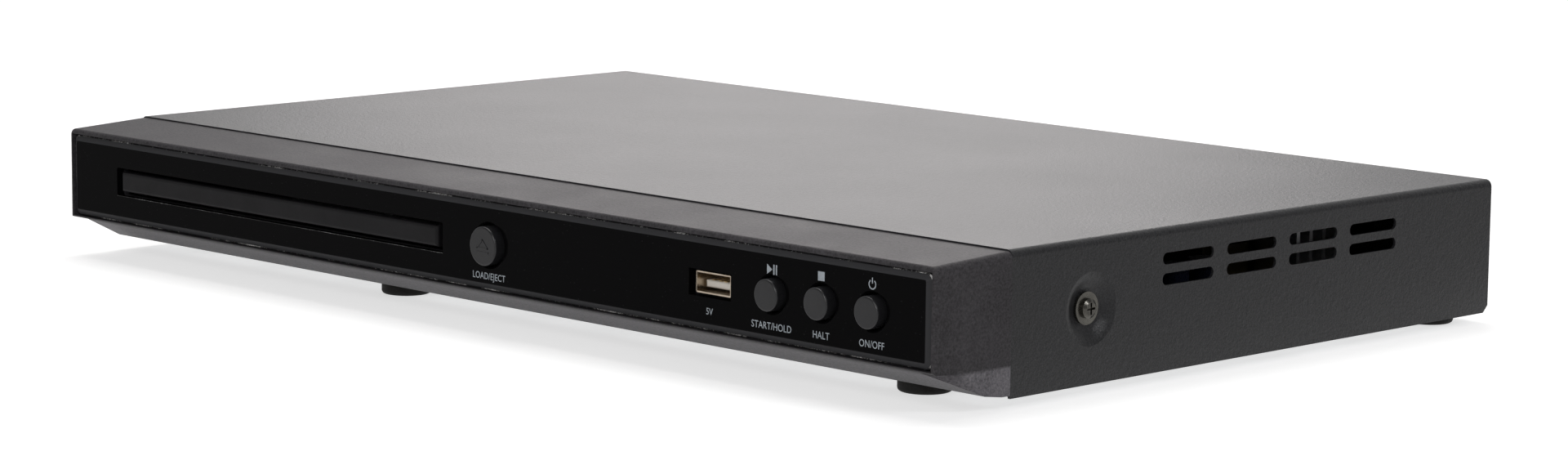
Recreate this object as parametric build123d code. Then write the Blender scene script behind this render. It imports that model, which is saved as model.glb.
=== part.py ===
"""Slim disc player with a motor driven tray, as separate pieces in millimetres.

X runs to the right seen from the front, the front looks along -Y and Z is up.
The origin lies on the floor under the middle of the outer box.
"""
import math
import os

from build123d import *

# Outer box
body_width = 360.0
cover_depth = 200.0
cover_height = 37.6
bezel_depth = 27.3
foot_height = 3.0
sheet = 0.8
gap = 0.3

# Front face, heights are drops below the top of the cover
strip_fall = 1.7
strip_step = 0.4
front_foot_drop = 28.6
bezel_side_draft = 0.5
bezel_wall = 2.0
bezel_corner = 1.8
bezel_edge = 1.0
chin_start_depth = 1.2
chin_low_depth = 18.1
chin_low_drop = 35.9
chin_corner_reach = 7.0
chin_corner_depth = 11.2
chin_corner_drop = 29.4
chin_back_depth = 24.4
chin_back_drop = 36.8

# Window of the front
window_margin = 2.0
window_top_drop = 3.4
window_base_drop = 27.7
window_bevel = 1.9
window_bevel_fall = 1.1
window_thickness = 2.5
window_corner = 2.4
window_groove = 0.3
hole_chamfer = 0.5

# Tray slot and door
slot_margin = 22.2
slot_width = 150.0
slot_height = 8.5
slot_drop = 15.45
door_side_play = 2.3
door_height = 5.9
door_drop = 15.3
door_thickness = 3.0
door_edge = 0.9

# Buttons, sizes seen from the front
button_drop = 15.3
button_proud = 2.4
button_travel = 0.6
button_flange = 1.4
button_flange_thickness = 1.2
stem_radius = 2.0
stem_length = 2.4
open_button_spacing = 19.3
open_button_radius = 5.4
small_button_radius = 4.2
small_button_count = 3
small_button_margin = 19.9
small_button_pitch = 17.7
button_hole_play = 0.6
button_edge = 0.5

# Push switches behind the buttons
plunger_radius = 1.7
plunger_length = 3.0
plunger_proud = 1.6
switch_size = 6.0
switch_depth = 3.5
running_play = 0.05

# Socket on the front
usb_spacing = 22.7
usb_drop = 15.5
usb_width = 13.1
usb_height = 5.7
usb_wall = 0.4
usb_inset = 1.4
usb_cutout_width = 15.6
usb_cutout_height = 7.0
usb_tongue_width = 11.1
usb_tongue_height = 1.9
usb_tongue_inset = 2.6
usb_tongue_lift = 0.75
usb_tongue_edge = 0.6
usb_contact_width = 1.0
usb_contact_thickness = 0.2
usb_contact_places = (-3.5, -1.0, 1.0, 3.5)

# Key boards
board_thickness = 1.6
key_board_height = 22.0
left_board_reach = 11.5
left_board_width = 50.0
right_board_reach = 16.0
board_margin = 8.0
receiver_spacing = 24.5
receiver_size = 6.0

# Side vents and screws
vent_length = 20.5
vent_height = 3.1
vent_first = 57.85
vent_pitch = 26.0
vent_columns = 4
vent_drops = (8.15, 13.55)
side_screw_back = 30.1
side_screw_drop = 18.1
dimple_radius = 9.6
dimple_floor_radius = 4.6
dimple_depth = 2.2
dimple_shoulder = 0.12
cover_fold = 2.0
corner_cut = 2.0
lip_height = 7.0

# Screws
screw_radius = 1.5
screw_length = 5.0
flange_radius = 4.3
flange_thickness = 0.8
dome_radius = 2.6
dome_height = 1.4
small_head_radius = 2.8
small_head_height = 1.6
screw_play = 0.1

# Pan
pan_lift = 0.4
flange_height = 8.0
boss_radius = 4.5
boss_height = 2.0
hook_width = 8.0
hook_slot = 10.0
hook_margin = 30.0
hook_pitch = 90.0
motor_cut_play = 1.0

# Feet, places from the front seam
foot_radius = 7.2
foot_edge = 1.0
front_foot_right_margin = 33.3
front_foot_left_margin = 120.6
front_foot_back = 4.5
rear_foot_margin = 12.5
rear_foot_back = 188.9

# Disc tray
tray_door_overhang = 2.2
rack_end = 17.0
tray_travel = 140.0
tray_side_play = 0.5
tray_height = 5.3
tray_floor = 1.4
rim_height = 1.6
spindle_back = 78.0
disc_recess_radius = 60.5
small_recess_radius = 40.5
small_recess_depth = 0.5
hub_hole_radius = 19.0
pickup_slot_width = 30.0
pickup_slot_reach = 65.0
rail_width = 4.0
rack_width = 2.5

# Gears
gear_module = 1.0
tooth_addendum = 0.8
tooth_dedendum = 1.05
pressure_angle = 20.0
backlash = 0.16
rack_gear_teeth = 18
large_gear_teeth = 28
pinion_teeth = 14
gear_back = 33.0
gear_band = 2.0
axle_radius = 1.5
pulley_radius = 10.4
pulley_height = 2.6
pulley_groove = 0.9
motor_pulley_radius = 3.2
motor_spacing = 38.0
belt_size = 1.2

# Loading motor
motor_radius = 10.0
motor_height = 10.0
motor_shaft_radius = 1.0

# Loader frame
frame_wall = 2.5
frame_plate = 1.5
frame_front = 8.0
frame_back_margin = 6.0
ledge_width = 3.0
ledge_thickness = 1.0
keeper_reach = 2.5
keeper_length = 10.0
keeper_pitch = 52.0
keeper_count = 3
keeper_thickness = 1.4
motor_plate_z_drop = 7.5

# Lifting deck
deck_lift = 5.0
hinge_back = 80.0
disc_lift = 0.9
turntable_thickness = 2.2
turntable_radius = 15.0
cone_radius = 7.4
cone_height = 2.0
rotor_radius = 13.0
rotor_height = 3.8
stator_height = 1.6
deck_sheet = 1.2
deck_half_width = 32.0
deck_front_reach = 19.0
lift_frame_width = 6.0
lift_frame_height = 3.5
damper_height = 2.5
damper_radius = 3.0
pivot_radius = 2.0
pivot_length = 6.0
cam_pin_radius = 1.5
cam_pin_length = 4.5

# Pickup
rod_radius = 1.5
rod_left_x = -23.0
rod_right_x = 19.0
sled_length = 28.0
sled_height = 5.0
sled_inner = 24.0
sled_travel = 34.0
carriage_half = 12.0
carriage_front = 8.6
lens_radius = 3.0
lens_below_disc = 1.6
screw_x = 28.0
lead_screw_radius = 1.5
sled_motor_radius = 5.0
sled_motor_length = 15.0

# Cam slider
slider_travel = 20.0
slider_thickness = 3.0
slider_play = 0.15
track_x = 43.0
track_pin_radius = 1.5
track_rib = 1.5
track_gap = 0.4

# Clamper
bridge_sheet = 1.0
bridge_width = 34.0
bridge_lift = 1.2
clamper_flange_radius = 15.5
clamper_hub_radius = 11.5
clamper_play = 1.5
clamper_flange_thickness = 1.6
clamper_cap_thickness = 1.2

# Boards inside
main_board_depth = 96.0
main_board_spacing = 11.3
power_board_width = 66.0
power_board_depth = 150.0
board_spacing = 10.0
board_corner = 4.0
rear_margin = 3.0
board_lift = 4.0

# Parts on the boards
decoder_size = 24.0
decoder_height = 1.6
memory_width = 10.0
memory_depth = 22.0
memory_height = 1.2
flash_width = 6.0
flash_depth = 8.0
driver_width = 12.0
driver_depth = 16.0
driver_height = 2.2
audio_width = 10.0
audio_depth = 6.0
chip_spacing = 6.0
small_can_radius = 2.5
small_can_height = 9.0
small_can_pitch = 14.0
large_can_radius = 5.0
large_can_height = 16.0
large_can_pitch = 15.0
large_can_count = 3
mains_can_radius = 8.0
mains_can_height = 22.0
transformer_width = 24.0
transformer_depth = 26.0
transformer_height = 22.0
bobbin_thickness = 3.0
core_margin = 3.0
winding_margin = 7.0
winding_bulge = 1.5
sink_length = 29.4
sink_reach = 10.0
sink_height = 20.0
sink_web = 2.0
sink_fin = 1.4
sink_fins = 6
ribbon_width = 16.0
ribbon_thickness = 0.5

# Rear sockets
jack_proud = 9.0
jack_radius = 4.15
jack_flange_radius = 5.2
jack_neck_radius = 3.8
jack_bore = 3.0
jack_pitch = 14.0
jack_columns = 3
jack_board_margin = 14.5
jack_drops = (13.0, 26.5)
jack_block_depth = 12.0
video_spacing = 18.0
video_drop = 27.0
video_width = 15.0
video_height = 5.6
video_depth = 12.0
inlet_margin = 38.0
inlet_drop = 20.0
inlet_width = 22.0
inlet_height = 14.0
inlet_depth = 18.0
inlet_cavity_width = 15.8
inlet_cavity_height = 8.0
inlet_cavity_depth = 11.0
inlet_pin_radius = 1.2
inlet_pin_pitch = 8.6
inlet_rim = 1.6

# Places worked out from the sizes above
total_depth = button_proud + bezel_depth + cover_depth + jack_proud
front_y = button_proud - total_depth / 2
seam_y = front_y + bezel_depth
rear_y = seam_y + cover_depth
top_z = foot_height + cover_height
base_z = foot_height
inner_top_z = top_z - sheet
half_width = body_width / 2
window_half = half_width - window_margin
slot_centre_x = slot_margin + slot_width / 2 - window_half
floor_z = base_z + pan_lift
floor_top_z = floor_z + sheet
boss_top_z = floor_top_z + boss_height
pan_half = half_width - sheet - gap
wall_y = rear_y - sheet
window_back_y = front_y + window_thickness
backing_y = window_back_y + bezel_wall
flange_y = backing_y + gap
stem_y = flange_y + button_flange_thickness
plunger_y = stem_y + stem_length
switch_y = plunger_y + plunger_proud
board_y = switch_y + switch_depth
board_back_y = board_y + board_thickness
button_z = top_z - button_drop
slot_z = top_z - slot_drop
door_z = top_z - door_drop
tray_top_z = door_z + door_height / 2 - 0.2
recess_z = tray_top_z - rim_height
tray_floor_z = recess_z - tray_floor
tray_base_z = tray_top_z - tray_height
tray_front_y = front_y + door_thickness
tray_length = gear_back + tray_travel + rack_end
tray_rear_y = front_y + tray_length
door_width = slot_width - 2 * door_side_play
tray_width = door_width - 2 * tray_door_overhang
tray_half = tray_width / 2
loader_x = slot_centre_x
spindle_y = front_y + spindle_back
open_button_x = slot_centre_x + slot_width / 2 + open_button_spacing
small_button_x = window_half - small_button_margin - (small_button_count - 1) * small_button_pitch
small_buttons = [small_button_x + i * small_button_pitch for i in range(small_button_count)]
usb_x = small_button_x - usb_spacing
receiver_x = open_button_x + receiver_spacing
left_board_x = open_button_x - left_board_reach
right_board_x = usb_x - right_board_reach
right_board_width = half_width - board_margin - right_board_x
front_foot_right_x = half_width - front_foot_right_margin
front_foot_left_x = front_foot_left_margin - half_width
rear_foot_x = half_width - rear_foot_margin
frame_half = tray_half + tray_side_play + frame_wall
frame_base_z = floor_top_z + gap
frame_nose_z = top_z - front_foot_drop + bezel_wall + gap
frame_low_y = seam_y + sheet + 6 * gap
frame_floor_z = frame_base_z + frame_plate
frame_top_z = tray_top_z + 2.0
frame_front_y = front_y + frame_front
frame_rear_y = tray_rear_y + frame_back_margin
gear_y = front_y + gear_back
rack_pitch_x = loader_x - tray_half + rail_width + rack_width
gear_x = rack_pitch_x + gear_module * rack_gear_teeth / 2
pulley_x = gear_x + gear_module * (large_gear_teeth + pinion_teeth) / 2 + backlash / 2
motor_x = pulley_x + motor_spacing
motor_plate_z = tray_floor_z - motor_plate_z_drop
motor_plate_top_z = motor_plate_z + frame_plate
band_z = motor_plate_top_z + gap
upper_band_z = band_z + gear_band
pulley_z = upper_band_z + gap / 2
disc_z = recess_z + disc_lift
turntable_z = disc_z - turntable_thickness
rotor_z = turntable_z - rotor_height
stator_z = rotor_z - gap - stator_height
deck_top_z = stator_z
deck_z = deck_top_z - deck_sheet
lift_top_z = deck_z - damper_height
lift_z = lift_top_z - lift_frame_height
hinge_y = spindle_y + hinge_back
hinge_z = lift_z + lift_frame_height / 2
lift_front_y = spindle_y - deck_front_reach - lift_frame_width
lift_half = deck_half_width + 3.0 + lift_frame_width
cam_pin_z = lift_top_z + 0.4
deck_angle = math.degrees(math.asin(deck_lift / hinge_back))
rod_z = deck_z - rod_radius - 0.6
sled_top_z = deck_z - 0.4
sled_base_z = sled_top_z - sled_height
screw_z = deck_z - sled_motor_radius - 0.2
sled_y = spindle_y + sled_inner
lens_top_z = disc_z - lens_below_disc
slider_back_y = lift_front_y - 1.0
slider_front_y = slider_back_y - slider_thickness
slider_mid_y = (slider_front_y + slider_back_y) / 2
cam_pin_fall = (hinge_y - slider_mid_y) * math.sin(math.radians(deck_angle))
bridge_z = frame_top_z + bridge_lift
clamper_z = tray_top_z + 1.0
board_z = floor_top_z + board_lift
main_board_x = loader_x + frame_half + main_board_spacing
power_board_x = half_width - board_margin - power_board_width
main_board_width = power_board_x - board_spacing - main_board_x
jack_first_x = main_board_x + jack_board_margin
jack_last_x = jack_first_x + (jack_columns - 1) * jack_pitch
video_x = jack_last_x + video_spacing
inlet_x = half_width - inlet_margin
main_board_y = wall_y - rear_margin - main_board_depth
power_board_y = wall_y - rear_margin - power_board_depth


def block(x_from, x_to, y_from, y_to, z_from, z_to):
    solid = Box(x_to - x_from, y_to - y_from, z_to - z_from)
    return Pos((x_from + x_to) / 2, (y_from + y_to) / 2, (z_from + z_to) / 2) * solid


def post(x, y, z_from, z_to, radius):
    return Pos(x, y, (z_from + z_to) / 2) * Cylinder(radius, z_to - z_from)


def rod_along_y(x, z, y_from, y_to, radius):
    return Pos(x, (y_from + y_to) / 2, z) * Rot(90, 0, 0) * Cylinder(radius, y_to - y_from)


def rod_along_x(y, z, x_from, x_to, radius):
    return Pos((x_from + x_to) / 2, y, z) * Rot(0, 90, 0) * Cylinder(radius, x_to - x_from)


def cone_along_y(x, z, y_from, y_to, radius_from, radius_to):
    cone = Cone(radius_to, radius_from, y_to - y_from)
    return Pos(x, (y_from + y_to) / 2, z) * Rot(90, 0, 0) * cone


def prism_along_x(points, x_from, x_to):
    face = Plane.YZ.offset(x_from) * make_face(Polyline(*points, close=True))
    return extrude(face, amount=x_to - x_from)


def prism_along_y(points, y_from, y_to):
    face = Plane.XZ.offset(-y_from) * make_face(Polyline(*points, close=True))
    return extrude(face, amount=y_from - y_to)


def plate_along_z(face, x, y, z_from, z_to):
    return extrude(Pos(x, y, z_from) * face, amount=z_to - z_from)


def plate_along_y(face, x, z, y_from, y_to):
    return extrude(Plane.XZ.offset(-y_from) * Pos(x, z) * face, amount=y_from - y_to)


def turned(points, x, y, z):
    face = Plane.XZ * make_face(Polyline(*points, close=True))
    return Pos(x, y, z) * revolve(face, Axis.Z)


def lowered(shape):
    hinge = Axis((0, hinge_y, hinge_z), (1, 0, 0))
    return shape.rotate(hinge, deck_angle)


def flank(radius, base_radius, outer_radius, half_angle):
    pressure = math.acos(base_radius / radius)
    pitch_roll = math.tan(pressure) - pressure
    points = []
    for share in (0.0, 0.55, 1.0):
        reach = base_radius + share * (outer_radius - base_radius)
        angle = math.acos(base_radius / reach)
        roll = math.tan(angle) - angle
        points.append((reach, half_angle + pitch_roll - roll))
    return points


def gear_face(teeth, turn):
    radius = gear_module * teeth / 2
    base_radius = radius * math.cos(math.radians(pressure_angle))
    outer_radius = radius + gear_module * tooth_addendum
    root_radius = radius - gear_module * tooth_dedendum
    half_angle = (math.pi * gear_module - backlash) / (4 * radius)
    side = flank(radius, max(base_radius, root_radius + 0.01), outer_radius, half_angle)
    if root_radius < side[0][0]:
        side = [(root_radius, side[0][1])] + side
    points = []
    for tooth in range(teeth):
        middle = math.radians(turn) + 2 * math.pi * tooth / teeth
        for reach, spread in side:
            points.append((reach, middle - spread))
        for reach, spread in reversed(side):
            points.append((reach, middle + spread))
    outline = [(reach * math.cos(angle), reach * math.sin(angle)) for reach, angle in points]
    return make_face(Polyline(*outline, close=True))


def rack_outline(pitch_x, first_y, last_y, mesh_y, back_x):
    pitch = math.pi * gear_module
    slope = math.tan(math.radians(pressure_angle))
    tip = gear_module * tooth_addendum
    root = gear_module * tooth_dedendum
    half_tooth = (pitch - backlash) / 4
    before = int((mesh_y - first_y) / pitch)
    after = int((last_y - mesh_y) / pitch)
    points = [(back_x, first_y), (pitch_x - root, first_y)]
    for step in range(-before + 1, after):
        centre = mesh_y + step * pitch
        points.append((pitch_x - root, centre - half_tooth - root * slope))
        points.append((pitch_x + tip, centre - half_tooth + tip * slope))
        points.append((pitch_x + tip, centre + half_tooth - tip * slope))
        points.append((pitch_x - root, centre + half_tooth + root * slope))
    points += [(pitch_x - root, last_y), (back_x, last_y)]
    return points


def screw(x, y, z, head_radius, head_height, length):
    head = Cylinder(head_radius, head_height, align=(Align.CENTER, Align.CENTER, Align.MIN))
    head = chamfer(head.edges().group_by(Axis.Z)[-1], min(head_height, head_radius) * 0.35)
    shank = Pos(0, 0, -length / 2) * Cylinder(screw_radius, length)
    cross = Box(head_radius, 0.7, 1.4) + Box(0.7, head_radius, 1.4)
    return Pos(x, y, z) * (head + shank - Pos(0, 0, head_height) * cross)


# Covers and pan

def side_dimple(side):
    # pressed dish that carries a side screw below the surface
    outer_x = side * half_width
    inner_x = side * (half_width - dimple_depth - sheet)
    floor_edge = (dimple_floor_radius, 0)
    shoulder = (dimple_radius, dimple_depth)
    slope = Spline(floor_edge, shoulder, tangents=[(1, dimple_shoulder), (1, dimple_shoulder)])
    rim_z = dimple_depth + sheet
    upper = Polyline(shoulder, (dimple_radius, rim_z), (0, rim_z), (0, 0), floor_edge)
    dish = revolve(Plane.XZ * make_face([slope, upper]), Axis.Z)
    turn = Rot(0, 90 * side, 0)
    centre = (seam_y + side_screw_back, top_z - side_screw_drop)
    bulge = Pos(inner_x, *centre) * turn * dish
    hollow = Pos(inner_x + side * sheet, *centre) * turn * dish
    bore = rod_along_x(*centre, *sorted((inner_x - side, outer_x)), screw_radius + screw_play)
    return bulge, hollow, bore


def top_cover():
    shell = block(-half_width, half_width, seam_y, rear_y, base_z, top_z)
    shell = fillet(shell.edges().filter_by(Axis.Y).group_by(Axis.Z)[-1], cover_fold)
    space = block(-half_width + sheet, half_width - sheet, seam_y - 1, rear_y + 1, base_z - 1, inner_top_z)
    space = fillet(space.edges().filter_by(Axis.Y).group_by(Axis.Z)[-1], cover_fold - sheet)
    shell -= space
    lip_x = half_width - cover_fold - sheet
    shell += block(-lip_x, lip_x, rear_y - sheet, rear_y, top_z - lip_height, top_z - sheet / 2)
    slot = SlotOverall(vent_length, vent_height)
    for column in range(vent_columns):
        vent_y = seam_y + vent_first + vent_length / 2 + column * vent_pitch
        for drop in vent_drops:
            face = Plane.YZ.offset(-half_width - 1) * Pos(vent_y, top_z - drop) * slot
            shell -= extrude(face, amount=body_width + 2)
    for side in (-1, 1):
        bulge, hollow, bore = side_dimple(side)
        shell = shell + bulge - hollow - bore
    cut = [(rear_y + 1, base_z - 1), (rear_y + 1, base_z + corner_cut), (rear_y, base_z + corner_cut)]
    cut += [(rear_y - corner_cut, base_z), (rear_y - corner_cut, base_z - 1)]
    shell -= prism_along_x(cut, -half_width - 1, half_width + 1)
    for x in rear_screw_places():
        shell -= rod_along_y(x, rear_screw_z(), rear_y - 2 * sheet, rear_y + 1, screw_radius + screw_play)
    return shell


def rear_screw_places():
    return (-half_width * 0.86, 0.0, half_width * 0.5)


def rear_screw_z():
    return top_z - lip_height / 2 - sheet / 2


def boss_places():
    frame_ear = frame_half + boss_radius + gap
    places = [(loader_x + side * frame_ear, y) for side in (-1, 1) for y in frame_ear_rows()]
    return places


def frame_ear_rows():
    return (seam_y + 8.0, frame_rear_y - 12.0)


def board_corners(x, y, width, depth):
    across = (x + board_corner, x + width - board_corner)
    along = (y + board_corner, y + depth - board_corner)
    return [(px, py) for px in across for py in along]


def standoff_places():
    places = board_corners(main_board_x, main_board_y, main_board_width, main_board_depth)
    places += board_corners(power_board_x, power_board_y, power_board_width, power_board_depth)
    return places


def foot_places():
    rear = seam_y + rear_foot_back
    front = seam_y + front_foot_back
    return [
        (front_foot_right_x, front),
        (front_foot_left_x, front),
        (rear_foot_x, rear),
        (-rear_foot_x, rear),
    ]


def chassis_pan():
    front = seam_y + gap
    pan = block(-pan_half, pan_half, front, wall_y, floor_z, floor_top_z)
    for side in (-1, 1):
        x_from, x_to = sorted((side * pan_half, side * (pan_half - sheet)))
        pan += block(x_from, x_to, front, wall_y, floor_z, floor_z + flange_height)
    pan += block(-pan_half, pan_half, front, front + sheet, floor_z, floor_z + flange_height)
    wall_top = inner_top_z - 2 * gap
    pan += block(-pan_half, pan_half, wall_y - sheet, wall_y, floor_z, wall_top)
    for side in (-1, 1):
        ear_x = side * (half_width - dimple_depth - sheet - gap)
        x_from, x_to = sorted((ear_x, ear_x - side * sheet))
        centre_y = seam_y + side_screw_back
        centre_z = top_z - side_screw_drop
        pan += block(x_from, x_to, centre_y - 8, centre_y + 8, floor_z, centre_z + 6)
        pan -= rod_along_x(centre_y, centre_z, x_from - 1, x_to + 1, screw_radius + screw_play)
    for x, y in boss_places():
        pan += post(x, y, floor_z, boss_top_z, boss_radius)
        pan -= post(x, y, floor_z - 1, boss_top_z - sheet, boss_radius - sheet)
        pan -= post(x, y, floor_z, boss_top_z + 1, screw_radius + screw_play)
    for x, y in standoff_places():
        pan += post(x, y, floor_z, board_z, boss_radius - 1)
        pan -= post(x, y, floor_z - 1, board_z - sheet, boss_radius - 1 - sheet)
        pan -= post(x, y, floor_z, board_z + 1, screw_radius + screw_play)
    for hook_x in hook_places():
        pan -= block(
            hook_x - hook_slot / 2, hook_x + hook_slot / 2, front - 1, front + sheet + 1,
            floor_top_z + 2.4, floor_top_z + 5.4,
        )
    motor_cut = motor_radius + motor_cut_play
    pan -= block(
        motor_x - motor_cut, motor_x + motor_cut, front - 1, front + sheet + 1,
        floor_top_z, floor_top_z + flange_height,
    )
    for x in rear_screw_places():
        pan -= rod_along_y(x, rear_screw_z(), wall_y - 2, wall_y + 1, screw_radius + screw_play)
    for x in jack_places():
        for drop in jack_drops:
            pan -= rod_along_y(x, top_z - drop, wall_y - 2, wall_y + 1, jack_neck_radius + gap)
    pan -= block(
        video_x - video_width / 2 - gap, video_x + video_width / 2 + gap, wall_y - 2, wall_y + 1,
        top_z - video_drop - video_height / 2 - gap, top_z - video_drop + video_height / 2 + gap,
    )
    pan -= block(
        inlet_x - inlet_width / 2 - gap, inlet_x + inlet_width / 2 + gap, wall_y - 2, wall_y + 1,
        top_z - inlet_drop - inlet_height / 2 - gap, top_z - inlet_drop + inlet_height / 2 + gap,
    )
    return pan


def rubber_feet():
    feet = []
    for x, y in foot_places():
        foot = post(x, y, 0, floor_z, foot_radius)
        feet.append(fillet(foot.edges().group_by(Axis.Z)[0], foot_edge))
    return Compound(feet)


def side_screws():
    screws = []
    for side in (-1, 1):
        head = Cylinder(flange_radius, flange_thickness, align=(Align.CENTER, Align.CENTER, Align.MIN))
        dome = [(0, 0), (dome_radius, 0), (dome_radius, dome_height * 0.6), (dome_radius * 0.7, dome_height)]
        dome.append((0, dome_height))
        head += Pos(0, 0, flange_thickness) * turned(dome, 0, 0, 0)
        head += Pos(0, 0, -screw_length / 2) * Cylinder(screw_radius, screw_length)
        cross = Box(dome_radius * 1.2, 0.6, 1.6) + Box(0.6, dome_radius * 1.2, 1.6)
        head -= Pos(0, 0, flange_thickness + dome_height) * cross
        x = side * (half_width - dimple_depth)
        place = Pos(x, seam_y + side_screw_back, top_z - side_screw_drop)
        screws.append(place * Rot(0, 90 * side, 0) * head)
    return Compound(screws)


def rear_screws():
    piece = screw(0, 0, 0, small_head_radius, small_head_height, screw_length)
    return Compound([Pos(x, rear_y, rear_screw_z()) * Rot(-90, 0, 0) * piece for x in rear_screw_places()])


def inner_screws():
    piece = screw(0, 0, 0, small_head_radius, small_head_height, screw_length - 1)
    ear_top = boss_top_z + frame_plate
    places = [(x, y, ear_top) for x, y in boss_places()]
    places += [(x, y, board_z + board_thickness) for x, y in standoff_places()]
    places += [(x, y, bridge_z + bridge_sheet) for x, y in bridge_screw_places()]
    return Compound([Pos(x, y, z) * piece for x, y, z in places])


# Front

def hook_places():
    outer = half_width - hook_margin
    beside_motor = motor_x + motor_radius + motor_cut_play + hook_slot / 2 + sheet
    return (-outer, beside_motor, outer - hook_pitch, outer)


def bezel_profile(inset, back):
    drop = [
        (seam_y + back, top_z - strip_step - inset),
        (front_y + inset, top_z - strip_fall - inset),
        (front_y + inset, top_z - front_foot_drop + inset),
        (front_y + chin_start_depth + inset * 0.6, top_z - front_foot_drop + inset),
        (front_y + chin_low_depth + inset * 0.6, top_z - chin_low_drop + inset),
        (front_y + chin_back_depth, top_z - chin_back_drop + inset),
        (seam_y + back, top_z - chin_back_drop + inset),
    ]
    return drop


def window_hole(x, radius, y_from, y_to):
    return rod_along_y(x, button_z, y_from, y_to, radius + button_hole_play)


def button_places():
    return [(open_button_x, open_button_radius)] + [(x, small_button_radius) for x in small_buttons]


def chin_corner(side, inset):
    # the flat that cuts each outer end of the raked chin, moved inward by inset
    upper = Vector(side * half_width, front_y + chin_corner_depth, top_z - chin_corner_drop)
    lower = Vector(side * half_width, front_y + chin_low_depth, top_z - chin_low_drop)
    inner_x = side * (half_width - chin_corner_reach)
    inner = Vector(inner_x, front_y + chin_start_depth, top_z - front_foot_drop)
    normal = (lower - upper).cross(inner - upper).normalized()
    if normal.Z > 0:
        normal = normal * -1
    size = 4 * chin_low_depth
    align = (Align.CENTER, Align.CENTER, Align.MIN)
    outside = Plane(origin=upper - normal * inset, z_dir=normal) * Box(size, size, size, align=align)
    under = [
        (front_y - 1, top_z - front_foot_drop + inset),
        (front_y + chin_start_depth, top_z - front_foot_drop + inset),
        (upper.Y, upper.Z + inset),
        (seam_y, upper.Z + inset),
        (seam_y, 0),
        (front_y - 1, 0),
    ]
    return outside & prism_along_x(under, -half_width - 1, half_width + 1)


def side_taper(side):
    edge = side * half_width
    points = [
        (edge, seam_y),
        (edge + side, seam_y),
        (edge + side, front_y - 1),
        (edge - side * bezel_side_draft, front_y - 1),
    ]
    return plate_along_z(make_face(Polyline(*points, close=True)), 0, 0, base_z - 1, top_z + 1)


def front_bezel():
    shell = prism_along_x(bezel_profile(0, 0), -half_width, half_width)
    shell -= side_taper(-1) + side_taper(1)
    shell -= chin_corner(-1, 0) + chin_corner(1, 0)
    outer = [edge for edge in shell.edges() if abs(edge.center().X) > half_width - 1]
    along_top = [edge for edge in outer if edge.center().Z > top_z - strip_fall]
    along_top = [edge for edge in along_top if edge.length > bezel_depth - 2]
    shell = fillet(along_top, bezel_corner)
    shell = fillet(shell.edges().group_by(Axis.Y)[0], bezel_edge)
    inside = prism_along_x(bezel_profile(bezel_wall, 5), bezel_wall - half_width, half_width - bezel_wall)
    inside -= block(-half_width, half_width, front_y - 1, backing_y, 0, top_z + 1)
    inside -= chin_corner(-1, bezel_wall) + chin_corner(1, bezel_wall)
    shell -= inside
    shell -= block(
        -window_half - window_groove, window_half + window_groove, front_y - 1, window_back_y,
        top_z - window_base_drop - window_groove, top_z - window_top_drop + window_groove,
    )
    shell -= block(
        slot_centre_x - slot_width / 2, slot_centre_x + slot_width / 2, front_y, backing_y + 1,
        slot_z - slot_height / 2, slot_z + slot_height / 2,
    )
    for x, radius in button_places():
        shell -= window_hole(x, radius, front_y, backing_y + 1)
    shell -= block(
        usb_x - usb_cutout_width / 2, usb_x + usb_cutout_width / 2, front_y, backing_y + 1,
        top_z - usb_drop - usb_cutout_height / 2, top_z - usb_drop + usb_cutout_height / 2,
    )
    shell -= rod_along_y(receiver_x, button_z, front_y, backing_y + 1, receiver_size / 2 + 1)
    for hook_x in hook_places():
        left = hook_x - hook_width / 2
        right = hook_x + hook_width / 2
        back = seam_y + gap + sheet
        hook = block(left, right, seam_y - 6, back + 0.6, floor_top_z + 2.8, floor_top_z + 5.0)
        hook -= block(left - 1, right + 1, seam_y, back, floor_top_z + 2, floor_top_z + 3.6)
        shell += hook
        shell += block(left, right, seam_y - 6, seam_y - 3, top_z - chin_back_drop + 1, floor_top_z + 5)
    for x, z in key_board_screw_places():
        shell += rod_along_y(x, z, backing_y - 0.5, board_y, 2.8)
        shell -= rod_along_y(x, z, backing_y + 1, board_y + 1, screw_radius - 0.3)
    return shell


def front_window():
    outer = (window_half, window_top_drop, window_base_drop)
    height = outer[2] - outer[1]
    middle_z = top_z - (outer[1] + outer[2]) / 2
    plate = plate_along_y(Rectangle(2 * window_half, height), 0, middle_z, front_y, window_back_y)
    plate = fillet(plate.edges().filter_by(Axis.Y), window_corner)
    rim = plate.edges().group_by(Axis.Y)[0]
    plate = chamfer(rim, window_bevel_fall, window_bevel)
    slot = block(
        slot_centre_x - slot_width / 2, slot_centre_x + slot_width / 2, front_y - 1, window_back_y + 1,
        slot_z - slot_height / 2, slot_z + slot_height / 2,
    )
    slot = fillet(slot.edges().filter_by(Axis.Y), 0.6)
    plate -= slot
    for x, radius in button_places():
        plate -= window_hole(x, radius, front_y - 1, window_back_y + 1)
        hole = radius + button_hole_play
        plate -= cone_along_y(x, button_z, front_y, front_y + hole_chamfer, hole + hole_chamfer, hole)
    plate -= block(
        usb_x - usb_cutout_width / 2, usb_x + usb_cutout_width / 2, front_y - 1, window_back_y + 1,
        top_z - usb_drop - usb_cutout_height / 2, top_z - usb_drop + usb_cutout_height / 2,
    )
    return plate


def tray_door():
    door = block(
        loader_x - door_width / 2, loader_x + door_width / 2, front_y, tray_front_y,
        door_z - door_height / 2, door_z + door_height / 2,
    )
    return fillet(door.edges().group_by(Axis.Y)[0], door_edge)


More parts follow.
